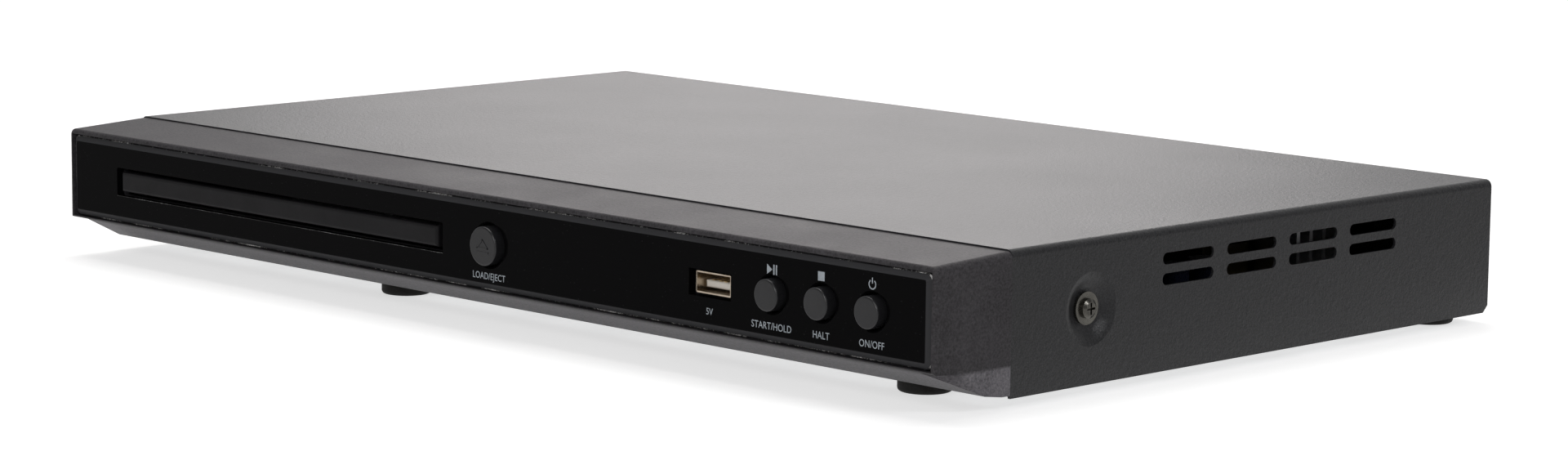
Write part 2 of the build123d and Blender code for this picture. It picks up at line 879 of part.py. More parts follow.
def push_button(x, radius):
    cap = rod_along_y(x, button_z, front_y - button_proud, flange_y, radius)
    cap = fillet(cap.edges().group_by(Axis.Y)[0], button_edge)
    cap += rod_along_y(x, button_z, flange_y, stem_y, radius + button_flange)
    cap += rod_along_y(x, button_z, stem_y, plunger_y, stem_radius)
    return cap


def plunger(x):
    return rod_along_y(x, button_z, plunger_y, plunger_y + plunger_length, plunger_radius)


def switch_bodies():
    bodies = []
    for x, radius in button_places():
        half = switch_size / 2
        case = block(x - half, x + half, switch_y, board_y, button_z - half, button_z + half)
        depth = plunger_length - plunger_proud + button_travel + gap
        bore = rod_along_y(x, button_z, switch_y - 1, switch_y + depth, plunger_radius + running_play)
        bodies.append(case - bore)
    return Compound(bodies)


def key_board_screw_places():
    low = button_z - key_board_height / 2 + 3.5
    boards = [(left_board_x, left_board_width), (right_board_x, right_board_width)]
    return [(x, low) for left, width in boards for x in (left + board_corner, left + width - board_corner)]


def key_board(x, width):
    low = button_z - key_board_height / 2
    board = block(x, x + width, board_y, board_back_y, low, low + key_board_height)
    for place_x, place_z in key_board_screw_places():
        board -= rod_along_y(place_x, place_z, board_y - 1, board_back_y + 1, screw_radius + screw_play)
    return board


def left_key_board():
    return key_board(left_board_x, left_board_width)


def right_key_board():
    return key_board(right_board_x, right_board_width)


def ir_receiver():
    half = receiver_size / 2
    case = block(
        receiver_x - half, receiver_x + half, backing_y + 1.5, board_y, button_z - half, button_z + half
    )
    lens = Pos(receiver_x, backing_y + 1.5, button_z) * Sphere(half - 0.4)
    return case + lens


def usb_shell():
    z = top_z - usb_drop
    half_x = usb_width / 2
    half_z = usb_height / 2
    shell = block(usb_x - half_x, usb_x + half_x, front_y + usb_inset, board_y, z - half_z, z + half_z)
    shell = fillet(shell.edges().filter_by(Axis.Y), 0.6)
    inner_x = half_x - usb_wall
    inner_z = half_z - usb_wall
    shell -= block(usb_x - inner_x, usb_x + inner_x, front_y, board_y - usb_wall, z - inner_z, z + inner_z)
    return shell


def usb_tongue_base():
    return top_z - usb_drop - usb_height / 2 + usb_wall + usb_tongue_lift


def usb_tongue():
    half = usb_tongue_width / 2
    low = usb_tongue_base()
    front = front_y + usb_inset + usb_tongue_inset
    bar = block(usb_x - half, usb_x + half, front, board_y - usb_wall, low, low + usb_tongue_height)
    bar = fillet(bar.edges().group_by(Axis.Y)[0], usb_tongue_edge)
    back = block(
        usb_x - half, usb_x + half, board_y - usb_wall - 2.0, board_y - usb_wall,
        top_z - usb_drop - usb_height / 2 + usb_wall, low,
    )
    return bar + back


def usb_contacts():
    strips = []
    low = usb_tongue_base() + usb_tongue_height
    front = front_y + usb_inset + usb_tongue_inset + usb_tongue_edge + 0.2
    for place in usb_contact_places:
        left = usb_x + place - usb_contact_width / 2
        right = left + usb_contact_width
        strips.append(block(left, right, front, board_y - usb_wall, low, low + usb_contact_thickness))
    return Compound(strips)


# Tray and its drive

def disc_tray():
    left = loader_x - tray_half
    plate = block(left, left + tray_width, tray_front_y, tray_rear_y, tray_base_z, tray_top_z)
    plate = fillet(plate.edges().filter_by(Axis.Z).group_by(Axis.Y)[-1], 3.0)
    rack_back = loader_x - tray_half + rail_width
    under = block(
        rack_back, loader_x + tray_half - rail_width, tray_front_y + 2.0, tray_rear_y + 1,
        tray_base_z - 1, tray_floor_z,
    )
    plate -= under
    plate -= plate_along_z(Circle(disc_recess_radius), loader_x, spindle_y, recess_z, tray_top_z + 1)
    small_z = recess_z - small_recess_depth
    plate -= plate_along_z(Circle(small_recess_radius), loader_x, spindle_y, small_z, tray_top_z + 1)
    plate -= post(loader_x, spindle_y, tray_floor_z - 1, tray_top_z + 1, hub_hole_radius)
    half_slot = pickup_slot_width / 2
    slot = block(
        loader_x - half_slot, loader_x + half_slot, spindle_y, spindle_y + pickup_slot_reach,
        tray_floor_z - 1, tray_top_z + 1,
    )
    plate -= fillet(slot.edges().filter_by(Axis.Z).group_by(Axis.Y)[-1], 4.0)
    rear_well = block(
        loader_x - tray_half + 14, loader_x + tray_half - 14, spindle_y + disc_recess_radius + 8,
        tray_rear_y - 8, recess_z, tray_top_z + 1,
    )
    plate -= fillet(rear_well.edges().filter_by(Axis.Z), 5.0)
    teeth = rack_outline(rack_pitch_x, tray_front_y + 4, tray_rear_y - 4, gear_y, rack_back)
    face = make_face(Polyline(*teeth, close=True))
    plate += plate_along_z(face, 0, 0, tray_base_z, tray_floor_z)
    return plate + track_ribs()


def track_ribs():
    # two ribs that hold the pin of the cam slider while the tray runs
    inner = track_pin_radius + track_gap
    centre = loader_x + track_x
    low = tray_base_z + 0.2
    left = block(
        centre - inner - track_rib, centre - inner, slider_mid_y - 5, tray_rear_y - 2, low, tray_floor_z
    )
    right = block(
        centre + inner, centre + inner + track_rib, slider_mid_y + 4, tray_rear_y - 2, low, tray_floor_z
    )
    return left + right


def gear_bore(x, y, z_from, z_to):
    return post(x, y, z_from - 1, z_to + 1, axle_radius + running_play)


def tray_gear():
    top = tray_floor_z - gap
    lower = plate_along_z(gear_face(large_gear_teeth, 0), gear_x, gear_y, band_z, upper_band_z)
    turn = 180 + 180 / rack_gear_teeth
    upper = plate_along_z(gear_face(rack_gear_teeth, turn), gear_x, gear_y, upper_band_z, top)
    return lower + upper - gear_bore(gear_x, gear_y, band_z, top)


def grooved_wheel(radius, z_from, z_to):
    middle = (z_from + z_to) / 2
    lip = 0.3
    points = [
        (0, z_from),
        (radius, z_from),
        (radius, z_from + lip),
        (radius - pulley_groove, middle - belt_size / 2),
        (radius - pulley_groove, middle + belt_size / 2),
        (radius, z_to - lip),
        (radius, z_to),
        (0, z_to),
    ]
    return points


def pulley_gear():
    top = pulley_z + pulley_height
    turn = 180 + 180 / pinion_teeth
    pinion = plate_along_z(gear_face(pinion_teeth, turn), pulley_x, gear_y, band_z, pulley_z)
    wheel = turned(grooved_wheel(pulley_radius, pulley_z, top), pulley_x, gear_y, 0)
    return pinion + wheel - gear_bore(pulley_x, gear_y, band_z, top)


def motor_pulley():
    top = pulley_z + pulley_height
    wheel = turned(grooved_wheel(motor_pulley_radius, pulley_z, top), motor_x, gear_y, 0)
    return wheel - post(motor_x, gear_y, pulley_z - 1, top + 1, motor_shaft_radius + running_play)


def drive_belt():
    middle = pulley_z + pulley_height / 2
    clear = 0.05
    large = Pos(pulley_x, gear_y) * Circle(pulley_radius - pulley_groove + clear)
    small = Pos(motor_x, gear_y) * Circle(motor_pulley_radius - pulley_groove + clear)
    inner = make_hull((large + small).edges())
    outer = offset(inner, belt_size * 0.75)
    half = belt_size / 2 - clear
    return plate_along_z(outer - inner, 0, 0, middle - half, middle + half)


def loading_motor():
    can = post(motor_x, gear_y, motor_plate_z - motor_height, motor_plate_z, motor_radius)
    can = fillet(can.edges(), 1.0)
    shaft = post(motor_x, gear_y, motor_plate_z - 1, pulley_z + pulley_height, motor_shaft_radius)
    return can + shaft


def bridge_screw_places():
    reach = tray_half + tray_side_play + frame_wall / 2 + 4.0
    return [(loader_x - reach, spindle_y), (loader_x + reach, spindle_y)]


def loader_frame():
    inner = tray_half + tray_side_play
    left = loader_x - frame_half
    right = loader_x + frame_half
    frame = block(left, right, frame_front_y, frame_rear_y, frame_base_z, frame_top_z)
    frame -= block(
        loader_x - inner, loader_x + inner, frame_front_y - 1, frame_rear_y - frame_wall,
        frame_floor_z, frame_top_z + 1,
    )
    frame -= block(
        loader_x - inner, loader_x + inner, frame_front_y - 1, frame_rear_y + 1,
        tray_base_z - gap, frame_top_z + 1,
    )
    well_back = hinge_y + 8
    frame -= block(
        loader_x - lift_half - 4, loader_x + lift_half + 4, lift_front_y - 0.6, well_back,
        frame_base_z - 1, frame_floor_z + 1,
    )
    ledge_z = tray_base_z - gap
    for side in (-1, 1):
        edge = loader_x + side * inner
        x_from, x_to = sorted((edge + side, edge - side * ledge_width))
        frame += block(x_from, x_to, frame_front_y, frame_rear_y - 2, ledge_z - ledge_thickness, ledge_z)
        x_from, x_to = sorted((edge + side, edge - side * keeper_reach))
        keeper_z = tray_top_z + gap
        for row in range(keeper_count):
            y = seam_y + 4 + row * keeper_pitch
            frame += block(x_from, x_to, y, y + keeper_length, keeper_z, keeper_z + keeper_thickness)
        bearing_x = loader_x + side * (lift_half + 1.0)
        x_from, x_to = sorted((bearing_x, bearing_x + side * (pivot_length - 1.0)))
        frame += block(x_from, x_to, hinge_y - 4, hinge_y + 4, frame_base_z, hinge_z + 4)
        frame += block(x_from, x_to, hinge_y - 9, hinge_y + 9, frame_base_z, frame_floor_z)
        frame -= rod_along_x(hinge_y, hinge_z, x_from - 1, x_to + 1, pivot_radius + running_play)
    frame += motor_deck()
    frame -= block(left - 1, right + 1, frame_front_y - 1, frame_low_y, frame_base_z - 1, frame_nose_z)
    for x, y in boss_places():
        ear = post(x, y, boss_top_z, boss_top_z + frame_plate, boss_radius)
        edge = loader_x + (frame_half if x > loader_x else -frame_half)
        x_from, x_to = sorted((x, edge))
        ear += block(x_from, x_to, y - boss_radius, y + boss_radius, boss_top_z, boss_top_z + frame_plate)
        frame += ear
        frame -= post(x, y, boss_top_z - 1, boss_top_z + frame_plate + 1, screw_radius + screw_play)
    for x, y in bridge_screw_places():
        side = 1 if x > loader_x else -1
        x_from, x_to = sorted((loader_x + side * frame_half, x))
        frame += block(x_from, x_to, y - 4, y + 4, frame_top_z - 10, frame_top_z)
        frame += post(x, y, frame_top_z - 10, frame_top_z, 4.0)
        frame -= post(x, y, frame_top_z - 8, frame_top_z + 1, screw_radius + screw_play)
    return frame + slider_guides()


def motor_deck():
    # raised floor at the front that carries the gears and the loading motor
    inner = tray_half + tray_side_play
    back = slider_front_y - 1.0
    wall_x = motor_x + motor_radius + 6
    plate = block(loader_x - inner - 1, wall_x, frame_front_y, back, motor_plate_z, motor_plate_top_z)
    plate += block(wall_x - frame_wall, wall_x, frame_front_y, back, frame_base_z, motor_plate_z + 0.5)
    plate += post(gear_x, gear_y, motor_plate_z, tray_floor_z - gap, axle_radius)
    plate += post(pulley_x, gear_y, motor_plate_z, pulley_z + pulley_height, axle_radius)
    plate -= post(motor_x, gear_y, motor_plate_z - 1, motor_plate_top_z + 1, motor_shaft_radius + 2)
    return plate


def slider_guides():
    # hooks that keep the cam slider upright on the frame's floor
    guides = None
    for x in (loader_x - lift_half - 9, loader_x + lift_half + 5):
        before = (slider_front_y - 1.8, slider_front_y - gap)
        behind = (slider_back_y + gap, slider_back_y + 1.8)
        for y_from, y_to in (before, behind):
            rib = block(x, x + 4, y_from, y_to, frame_base_z, frame_floor_z + 6)
            guides = rib if guides is None else guides + rib
    return guides


def cam_slot_centres():
    # the cam pin lies at the low end at rest and at the high end when lifted
    low = cam_pin_z - cam_pin_fall
    return (loader_x, low), (loader_x - slider_travel, cam_pin_z)


def cam_slider():
    low_z = frame_floor_z + gap
    high_z = cam_pin_z + cam_pin_radius + 2.4
    start, end = cam_slot_centres()
    inner = tray_half + tray_side_play
    left = loader_x - inner + 3
    right = loader_x + inner - slider_travel - 1
    bar = block(left, right, slider_front_y, slider_back_y, low_z, low_z + 5)
    bar += block(end[0] - 10, start[0] + 10, slider_front_y, slider_back_y, low_z, high_z)
    angle = math.degrees(math.atan2(start[1] - end[1], start[0] - end[0]))
    length = math.hypot(start[0] - end[0], start[1] - end[1])
    slot = SlotCenterToCenter(length, 2 * (cam_pin_radius + slider_play))
    middle = ((start[0] + end[0]) / 2, (start[1] + end[1]) / 2)
    face = Plane.XZ.offset(-slider_front_y + 1) * Pos(*middle) * Rot(0, 0, angle) * slot
    bar -= extrude(face, amount=-slider_thickness - 2)
    pin_x = loader_x + track_x
    bar += block(pin_x - 3, pin_x + 3, slider_front_y, slider_back_y, low_z, tray_base_z - 1.0)
    bar += post(pin_x, slider_mid_y, tray_base_z - 2, tray_floor_z - 0.4, track_pin_radius)
    return bar


# Lifting deck, modelled level and then turned down to its rest

def lift_frame():
    left = loader_x - lift_half
    right = loader_x + lift_half
    back = hinge_y + lift_frame_width / 2
    ring = block(left, right, lift_front_y, back, lift_z, lift_top_z)
    width = lift_frame_width
    ring -= block(left + width, right - width, lift_front_y + width, back - width, lift_z - 1, lift_top_z + 1)
    for side in (-1, 1):
        edge = loader_x + side * lift_half
        x_from, x_to = sorted((edge - side, edge + side * pivot_length))
        ring += rod_along_x(hinge_y, hinge_z, x_from, x_to, pivot_radius)
    root = block(
        loader_x - 4, loader_x + 4, lift_front_y, lift_front_y + 3, lift_z, cam_pin_z + cam_pin_radius + 0.6
    )
    pin = rod_along_y(loader_x, cam_pin_z, lift_front_y - cam_pin_length, lift_front_y + 1, cam_pin_radius)
    for x, y in damper_places():
        ring -= post(x, y, lift_z - 1, lift_top_z + 1, screw_radius - 0.3)
    return ring + root + pin


def damper_places():
    x = lift_half - lift_frame_width / 2
    front = lift_front_y + lift_frame_width / 2
    back = hinge_y - 9.0
    return [(loader_x + side * x, y) for side in (-1, 1) for y in (front, back)]


def rubber_dampers():
    rings = []
    for x, y in damper_places():
        ring = post(x, y, lift_top_z, deck_z, damper_radius)
        rings.append(ring - post(x, y, lift_top_z - 1, deck_z + 1, screw_radius + screw_play))
    return Compound(rings)


def deck_screws():
    piece = screw(0, 0, 0, small_head_radius, small_head_height, 3.0)
    return Compound([Pos(x, y, deck_top_z) * piece for x, y in damper_places()])


def traverse_deck():
    left = loader_x - deck_half_width
    right = loader_x + deck_half_width
    front = spindle_y - deck_front_reach
    back = hinge_y - 5
    plate = block(left, right, front, back, deck_z, deck_top_z)
    for x, y in damper_places():
        plate += post(x, y, deck_z, deck_top_z, damper_radius + 0.6)
        edge = left if x < loader_x else right
        near = edge + (2 if x < loader_x else -2)
        x_from, x_to = sorted((x, near))
        plate += block(x_from, x_to, y - 4, y + 4, deck_z, deck_top_z)
    opening = block(
        loader_x - carriage_half - 2, loader_x + carriage_half + 2, spindle_y + rotor_radius + 1,
        sled_y + sled_travel + carriage_half + 1.5, deck_z - 1, deck_top_z + 1,
    )
    plate -= fillet(opening.edges().filter_by(Axis.Z), 2.0)
    for x in (loader_x + rod_left_x, loader_x + rod_right_x):
        for y in rod_holder_rows():
            plate += block(x - 2.6, x + 2.6, y, y + 3.0, rod_z - rod_radius - 1, deck_z + 0.2)
            plate -= rod_along_y(x, rod_z, y - 1, y + 4, rod_radius + running_play)
    x = loader_x + screw_x
    y = rod_holder_rows()[0] - 4
    plate += block(x - 2.4, x + 2.4, y, y + 2.4, screw_z - 2.4, deck_z + 0.2)
    plate -= rod_along_y(x, screw_z, y - 1, y + 4, lead_screw_radius + running_play)
    for x, y in damper_places():
        plate -= post(x, y, deck_z - 1, deck_top_z + 1, screw_radius + screw_play)
    return plate


def rod_holder_rows():
    first = sled_y - sled_length / 2 - 3.4
    last = sled_y + sled_travel + sled_length / 2 + 0.4
    return first, last


def guide_rods():
    first, last = rod_holder_rows()
    rods = []
    for x in (loader_x + rod_left_x, loader_x + rod_right_x):
        rods.append(rod_along_y(x, rod_z, first, last + 3.0, rod_radius))
    return Compound(rods)


def sled_motor_front():
    return sled_y + sled_travel + 3.0


def sled_motor():
    x = loader_x + screw_x
    front = sled_motor_front()
    can = rod_along_y(x, screw_z, front, front + sled_motor_length, sled_motor_radius)
    can = fillet(can.edges(), 0.6)
    pad = block(x - 3, x + 3, front + 3, front + sled_motor_length - 3, screw_z + 2, deck_z)
    return can + pad


def lead_screw():
    x = loader_x + screw_x
    first = rod_holder_rows()[0] - 4.6
    return rod_along_y(x, screw_z, first, sled_motor_front() - gap / 2, lead_screw_radius)


def spindle_motor():
    base = post(loader_x, spindle_y, stator_z, stator_z + stator_height, rotor_radius + 0.6)
    base += post(loader_x, spindle_y, stator_z, rotor_z + 1.0, 4.0)
    return base - post(loader_x, spindle_y, stator_z + 0.6, rotor_z + 2, 1.0 + running_play)


def spindle_rotor():
    top = rotor_z + rotor_height
    can = post(loader_x, spindle_y, rotor_z, top, rotor_radius)
    can -= post(loader_x, spindle_y, rotor_z - 1, top - 0.8, rotor_radius - 0.8)
    shaft = post(loader_x, spindle_y, stator_z + 0.9, disc_z + cone_height - 0.6, 1.0)
    return can + shaft


def turntable():
    points = [
        (1.0, turntable_z),
        (turntable_radius, turntable_z),
        (turntable_radius, disc_z),
        (cone_radius, disc_z),
        (cone_radius, disc_z + cone_height * 0.4),
        (cone_radius - 1.4, disc_z + cone_height),
        (1.0, disc_z + cone_height),
    ]
    return turned(points, loader_x, spindle_y, 0)


def pickup_sled():
    half = sled_length / 2
    left = loader_x + rod_left_x - 4
    right = loader_x + rod_right_x + 3.6
    body = block(left, right, sled_y - half, sled_y + half, sled_base_z, sled_top_z)
    body -= block(
        loader_x + rod_left_x + 3, loader_x + rod_right_x - 3,
        sled_y - half - 1, sled_y - carriage_half - 0.5, sled_base_z - 1, sled_top_z + 1,
    )
    body -= rod_along_y(
        loader_x + rod_left_x, rod_z, sled_y - half - 1, sled_y + half + 1, rod_radius + running_play
    )
    slot_x = loader_x + rod_right_x
    body -= rod_along_y(slot_x, rod_z, sled_y - half - 1, sled_y + half + 1, rod_radius + running_play)
    body -= block(
        slot_x, right + 1, sled_y - half - 1, sled_y + half + 1,
        rod_z - rod_radius - running_play, rod_z + rod_radius + running_play,
    )
    carriage = block(
        loader_x - carriage_half, loader_x + carriage_half, sled_y - carriage_front,
        sled_y + carriage_half - 1, sled_top_z - 0.5, lens_top_z - 1.0,
    )
    carriage = chamfer(carriage.edges().group_by(Axis.Z)[-1], 1.0)
    body += carriage
    body -= post(loader_x, sled_y, lens_top_z - 3, lens_top_z + 1, lens_radius + 0.6)
    arm_x = loader_x + screw_x
    arm_y = sled_y - half
    arm = block(right - 1, arm_x + 2.8, arm_y, arm_y + 5, screw_z - 2.8, screw_z + 2.8)
    arm -= rod_along_y(arm_x, screw_z, arm_y - 1, arm_y + 6, lead_screw_radius + 0.1)
    return body + arm


def pickup_lens():
    base = lens_top_z - 3
    lens = post(loader_x, sled_y, base, lens_top_z - 0.9, lens_radius)
    sphere_radius = 5.6
    cap = Pos(loader_x, sled_y, lens_top_z - sphere_radius) * Sphere(sphere_radius)
    cap &= post(loader_x, sled_y, lens_top_z - 1.2, lens_top_z + 0.1, lens_radius - 0.1)
    return lens + cap


# Clamper over the tray

def clamper_bridge():
    reach = tray_half + tray_side_play + frame_wall / 2 + 8.0
    half = bridge_width / 2
    strip = block(
        loader_x - reach, loader_x + reach, spindle_y - half, spindle_y + half,
        bridge_z, bridge_z + bridge_sheet,
    )
    strip = fillet(strip.edges().filter_by(Axis.Z), 3.0)
    strip -= post(loader_x, spindle_y, bridge_z - 1, bridge_z + 2, clamper_hub_radius + clamper_play)
    for side in (-1, 1):
        inner = loader_x + side * (tray_half - 4)
        x_from, x_to = sorted((inner, inner - side * 34))
        rib_z = bridge_z + bridge_sheet
        for y in (spindle_y - half + 3, spindle_y + half - 5):
            strip += block(x_from, x_to, y, y + 2, rib_z - 0.2, rib_z + 1.2)
    for x, y in bridge_screw_places():
        strip += post(x, y, frame_top_z, bridge_z, 3.6)
        strip -= post(x, y, frame_top_z - 1, bridge_z + bridge_sheet + 1, screw_radius + screw_play)
    return strip


def clamper_cap_z():
    return bridge_z + bridge_sheet + gap


def clamper_disc():
    top = clamper_cap_z() + clamper_cap_thickness
    shoulder = clamper_z + clamper_flange_thickness
    recess = cone_radius + 0.8
    points = [
        (recess, clamper_z),
        (clamper_flange_radius, clamper_z),
        (clamper_flange_radius, shoulder),
        (clamper_hub_radius, shoulder),
        (clamper_hub_radius, top),
        (0, top),
        (0, clamper_z + cone_height + 0.6),
        (recess, clamper_z + cone_height + 0.6),
    ]
    return turned(points, loader_x, spindle_y, 0)


def clamper_cap():
    low = clamper_cap_z()
    ring = post(loader_x, spindle_y, low, low + clamper_cap_thickness, clamper_flange_radius - 0.5)
    return ring - post(loader_x, spindle_y, low - 1, low + 3, clamper_hub_radius)


# Boards

def screw_holes(board, places, z):
    for x, y in places:
        board -= post(x, y, z - 1, z + board_thickness + 1, screw_radius + screw_play)
    return board


def circuit_board(x, y, width, depth):
    board = block(x, x + width, y, y + depth, board_z, board_z + board_thickness)
    return screw_holes(board, board_corners(x, y, width, depth), board_z)


def main_board():
    return circuit_board(main_board_x, main_board_y, main_board_width, main_board_depth)


def power_board():
    return circuit_board(power_board_x, power_board_y, power_board_width, power_board_depth)


def on_board(x, y, width, depth, height):
    z = board_z + board_thickness
    return block(x, x + width, y, y + depth, z, z + height)


def board_chips():
    y = main_board_y
    decoder_x = main_board_x + main_board_width / 2 - 2 * driver_height - decoder_size / 2
    decoder_y = y + main_board_depth / 2 - decoder_size / 2 - chip_spacing
    memory_x = decoder_x + decoder_size + chip_spacing
    below_y = decoder_y - chip_spacing - flash_depth
    above_y = decoder_y + decoder_size + chip_spacing
    decoder = on_board(decoder_x, decoder_y, decoder_size, decoder_size, decoder_height)
    memory = on_board(memory_x, decoder_y, memory_width, memory_depth, memory_height)
    flash = on_board(decoder_x, below_y, flash_width, flash_depth, decoder_height)
    driver = on_board(main_board_x + chip_spacing, above_y, driver_width, driver_depth, driver_height)
    audio = on_board(memory_x, above_y, audio_width, audio_depth, decoder_height)
    return Compound([decoder, memory, flash, driver, audio])


def board_capacitors():
    z = board_z + board_thickness
    first_x = main_board_x + board_corner + small_can_pitch - 2 * screw_radius
    count = int((main_board_width - 2 * board_corner - small_can_pitch) / small_can_pitch)
    cans = []
    for column in range(count):
        x = first_x + column * small_can_pitch
        cans.append(post(x, main_board_y + 2 * board_corner, z, z + small_can_height, small_can_radius))
    row_x = power_board_x + power_board_width - small_can_pitch
    for row in range(large_can_count):
        y = power_board_y + transformer_depth + row * large_can_pitch
        cans.append(post(row_x, y, z, z + large_can_height, large_can_radius))
    return Compound(cans)


def transformer():
    x = power_board_x + 2 * sink_reach
    y = power_board_y + power_board_depth / 2 - transformer_depth / 2
    z = board_z + board_thickness
    right = x + transformer_width
    back = y + transformer_depth
    high = z + transformer_height
    low = z + bobbin_thickness
    bobbin = block(x, right, y, back, z, low)
    top = block(x, right, y, back, high - sink_web, high)
    core = block(x + 1, right - 1, y + core_margin, back - core_margin, low, high - sink_web)
    winding = block(
        x - winding_bulge, right + winding_bulge, y + winding_margin, back - winding_margin,
        low + core_margin, high - core_margin - sink_web,
    )
    return bobbin + core + winding + top


def mains_capacitor():
    z = board_z + board_thickness
    x = power_board_x + 2 * sink_reach
    y = power_board_y + power_board_depth - 2 * transformer_depth + mains_can_radius
    can = post(x, y, z, z + mains_can_height, mains_can_radius)
    return fillet(can.edges().group_by(Axis.Z)[-1], mains_can_radius / 10)


def heat_sink():
    x = power_board_x + power_board_width - transformer_width + 2 * sink_web
    y = power_board_y + power_board_depth - 2 * transformer_depth - small_can_pitch
    z = board_z + board_thickness
    pitch = (sink_length - sink_fin) / (sink_fins - 1)
    sink = block(x, x + sink_web, y, y + sink_length, z, z + sink_height)
    for fin in range(sink_fins):
        fin_y = y + fin * pitch
        sink += block(x + sink_web, x + sink_reach, fin_y, fin_y + sink_fin, z + sink_web, z + sink_height)
    return sink


def panel_ribbon():
    # flat ribbon between the key board and the main board
    x = left_board_x + left_board_width - 2 * ribbon_width
    z = board_z + board_thickness
    half = ribbon_width / 2
    rise = button_z - key_board_height / 2 + 3.0
    thickness = ribbon_thickness
    path = [
        (board_back_y, rise),
        (board_back_y + 5, rise),
        (board_back_y + 9, z + 3),
        (main_board_y + 1, z + 3),
        (main_board_y + 4, z),
        (main_board_y + 4, z + thickness),
        (main_board_y + 1.5, z + 3 + thickness),
        (board_back_y + 9.4, z + 3 + thickness),
        (board_back_y + 5.4, rise + thickness),
        (board_back_y, rise + thickness),
    ]
    return prism_along_x(path, x - half, x + half)


# Rear sockets

def jack_places():
    return [jack_first_x + i * jack_pitch for i in range(jack_columns)]


def rca_block():
    places = jack_places()
    left = places[0] - jack_pitch / 2
    right = places[-1] + jack_pitch / 2
    face_y = wall_y - sheet
    low = board_z + board_thickness
    high = top_z - jack_drops[0] + jack_pitch / 2 - 1
    case = block(left, right, face_y - jack_block_depth, face_y, low, high)
    for x in places:
        for drop in jack_drops:
            z = top_z - drop
            case -= rod_along_y(x, z, face_y - 3, face_y + 1, jack_neck_radius)
            case += rod_along_y(x, z, face_y - 4, rear_y + 1.0, jack_bore)
            case -= rod_along_y(x, z, face_y - 8, rear_y + 2, 1.6)
    return case


def rca_shells():
    barrels = []
    face_y = wall_y - sheet
    for x in jack_places():
        for drop in jack_drops:
            z = top_z - drop
            barrel = rod_along_y(x, z, rear_y, rear_y + jack_proud, jack_radius)
            barrel += rod_along_y(x, z, wall_y, rear_y, jack_flange_radius)
            barrel += rod_along_y(x, z, face_y - 3, wall_y, jack_neck_radius)
            barrel -= rod_along_y(x, z, face_y - 4, rear_y + jack_proud + 1, jack_bore)
            barrels.append(barrel)
    return Compound(barrels)


def video_socket():
    z = top_z - video_drop
    half_x = video_width / 2
    half_z = video_height / 2
    low = board_z + board_thickness
    profile = [
        (video_x - half_x, z + half_z),
        (video_x + half_x, z + half_z),
        (video_x + half_x, z - half_z * 0.2),
        (video_x + half_x - 1.6, z - half_z),
        (video_x - half_x + 1.6, z - half_z),
        (video_x - half_x, z - half_z * 0.2),
    ]
    shell = prism_along_y(profile, rear_y - video_depth, rear_y + 0.4)
    cavity = offset(make_face(Polyline(*profile, close=True)), -0.5)
    shell -= extrude(Plane.XZ.offset(-rear_y - 1) * cavity, amount=video_depth - 1)
    tongue = block(video_x - 5.5, video_x + 5.5, rear_y - video_depth + 1, rear_y - 2, z - 0.4, z + 0.6)
    reach = half_x - 1
    legs = block(video_x - reach, video_x + reach, rear_y - video_depth, rear_y - 4, low, z - half_z + 0.3)
    return shell + tongue + legs


def inlet_cavity_face():
    waist = SlotOverall(inlet_cavity_width, inlet_cavity_height)
    return waist


def mains_inlet():
    z = top_z - inlet_drop
    half_x = inlet_width / 2
    half_z = inlet_height / 2
    front = rear_y - inlet_depth
    case = block(inlet_x - half_x, inlet_x + half_x, front, rear_y + inlet_rim, z - half_z, z + half_z)
    case = fillet(case.edges().filter_by(Axis.Y), 1.2)
    face = Plane.XZ.offset(-rear_y - inlet_rim - 1) * Pos(inlet_x, z) * inlet_cavity_face()
    case -= extrude(face, amount=inlet_cavity_depth + 1)
    foot = block(
        inlet_x - half_x, inlet_x + half_x, front, wall_y - sheet - gap,
        board_z + board_thickness, z - half_z + 0.5,
    )
    for side in (-1, 1):
        x = inlet_x + side * inlet_pin_pitch / 2
        deep = rear_y + inlet_rim - inlet_cavity_depth
        case -= rod_along_y(x, z, deep - 3, deep + 1, inlet_pin_radius)
    return case + foot


def inlet_pins():
    z = top_z - inlet_drop
    pins = []
    for side in (-1, 1):
        x = inlet_x + side * inlet_pin_pitch / 2
        deep = rear_y + inlet_rim - inlet_cavity_depth
        pins.append(rod_along_y(x, z, deep - 3, rear_y + inlet_rim - 2, inlet_pin_radius))
    return Compound(pins)


def button_nodes():
    names = ["open_close", "play_pause", "stop", "power"]
    nodes = {}
    for name, (x, radius) in zip(names, button_places()):
        nodes[name + "_button"] = push_button(x, radius)
        nodes[name + "_plunger"] = plunger(x)
    return nodes


def all_nodes():
    fixed = [
        top_cover, chassis_pan, front_bezel, front_window, rubber_feet, side_screws, rear_screws,
        inner_screws, main_board, board_chips, board_capacitors, power_board, transformer,
        mains_capacitor, heat_sink, mains_inlet, inlet_pins, rca_block, rca_shells, video_socket,
        usb_shell, usb_tongue, usb_contacts, left_key_board, right_key_board, switch_bodies,
        ir_receiver, loader_frame, clamper_bridge, loading_motor, drive_belt, panel_ribbon,
        clamper_disc, clamper_cap, disc_tray, tray_door, tray_gear, pulley_gear, motor_pulley,
        cam_slider,
    ]
    lifting = [
        lift_frame, traverse_deck, rubber_dampers, deck_screws, spindle_motor, guide_rods, sled_motor,
        lead_screw, spindle_rotor, turntable, pickup_sled, pickup_lens,
    ]
    nodes = {maker.__name__: maker() for maker in fixed}
    nodes.update({maker.__name__: lowered(maker()) for maker in lifting})
    nodes.update(button_nodes())
    return nodes


def main():
    os.makedirs("parts", exist_ok=True)
    for name, shape in all_nodes().items():
        export_step(shape, f"parts/{name}.step")


main()
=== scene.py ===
import math

import bpy
import numpy as np
from mathutils import Matrix, Vector


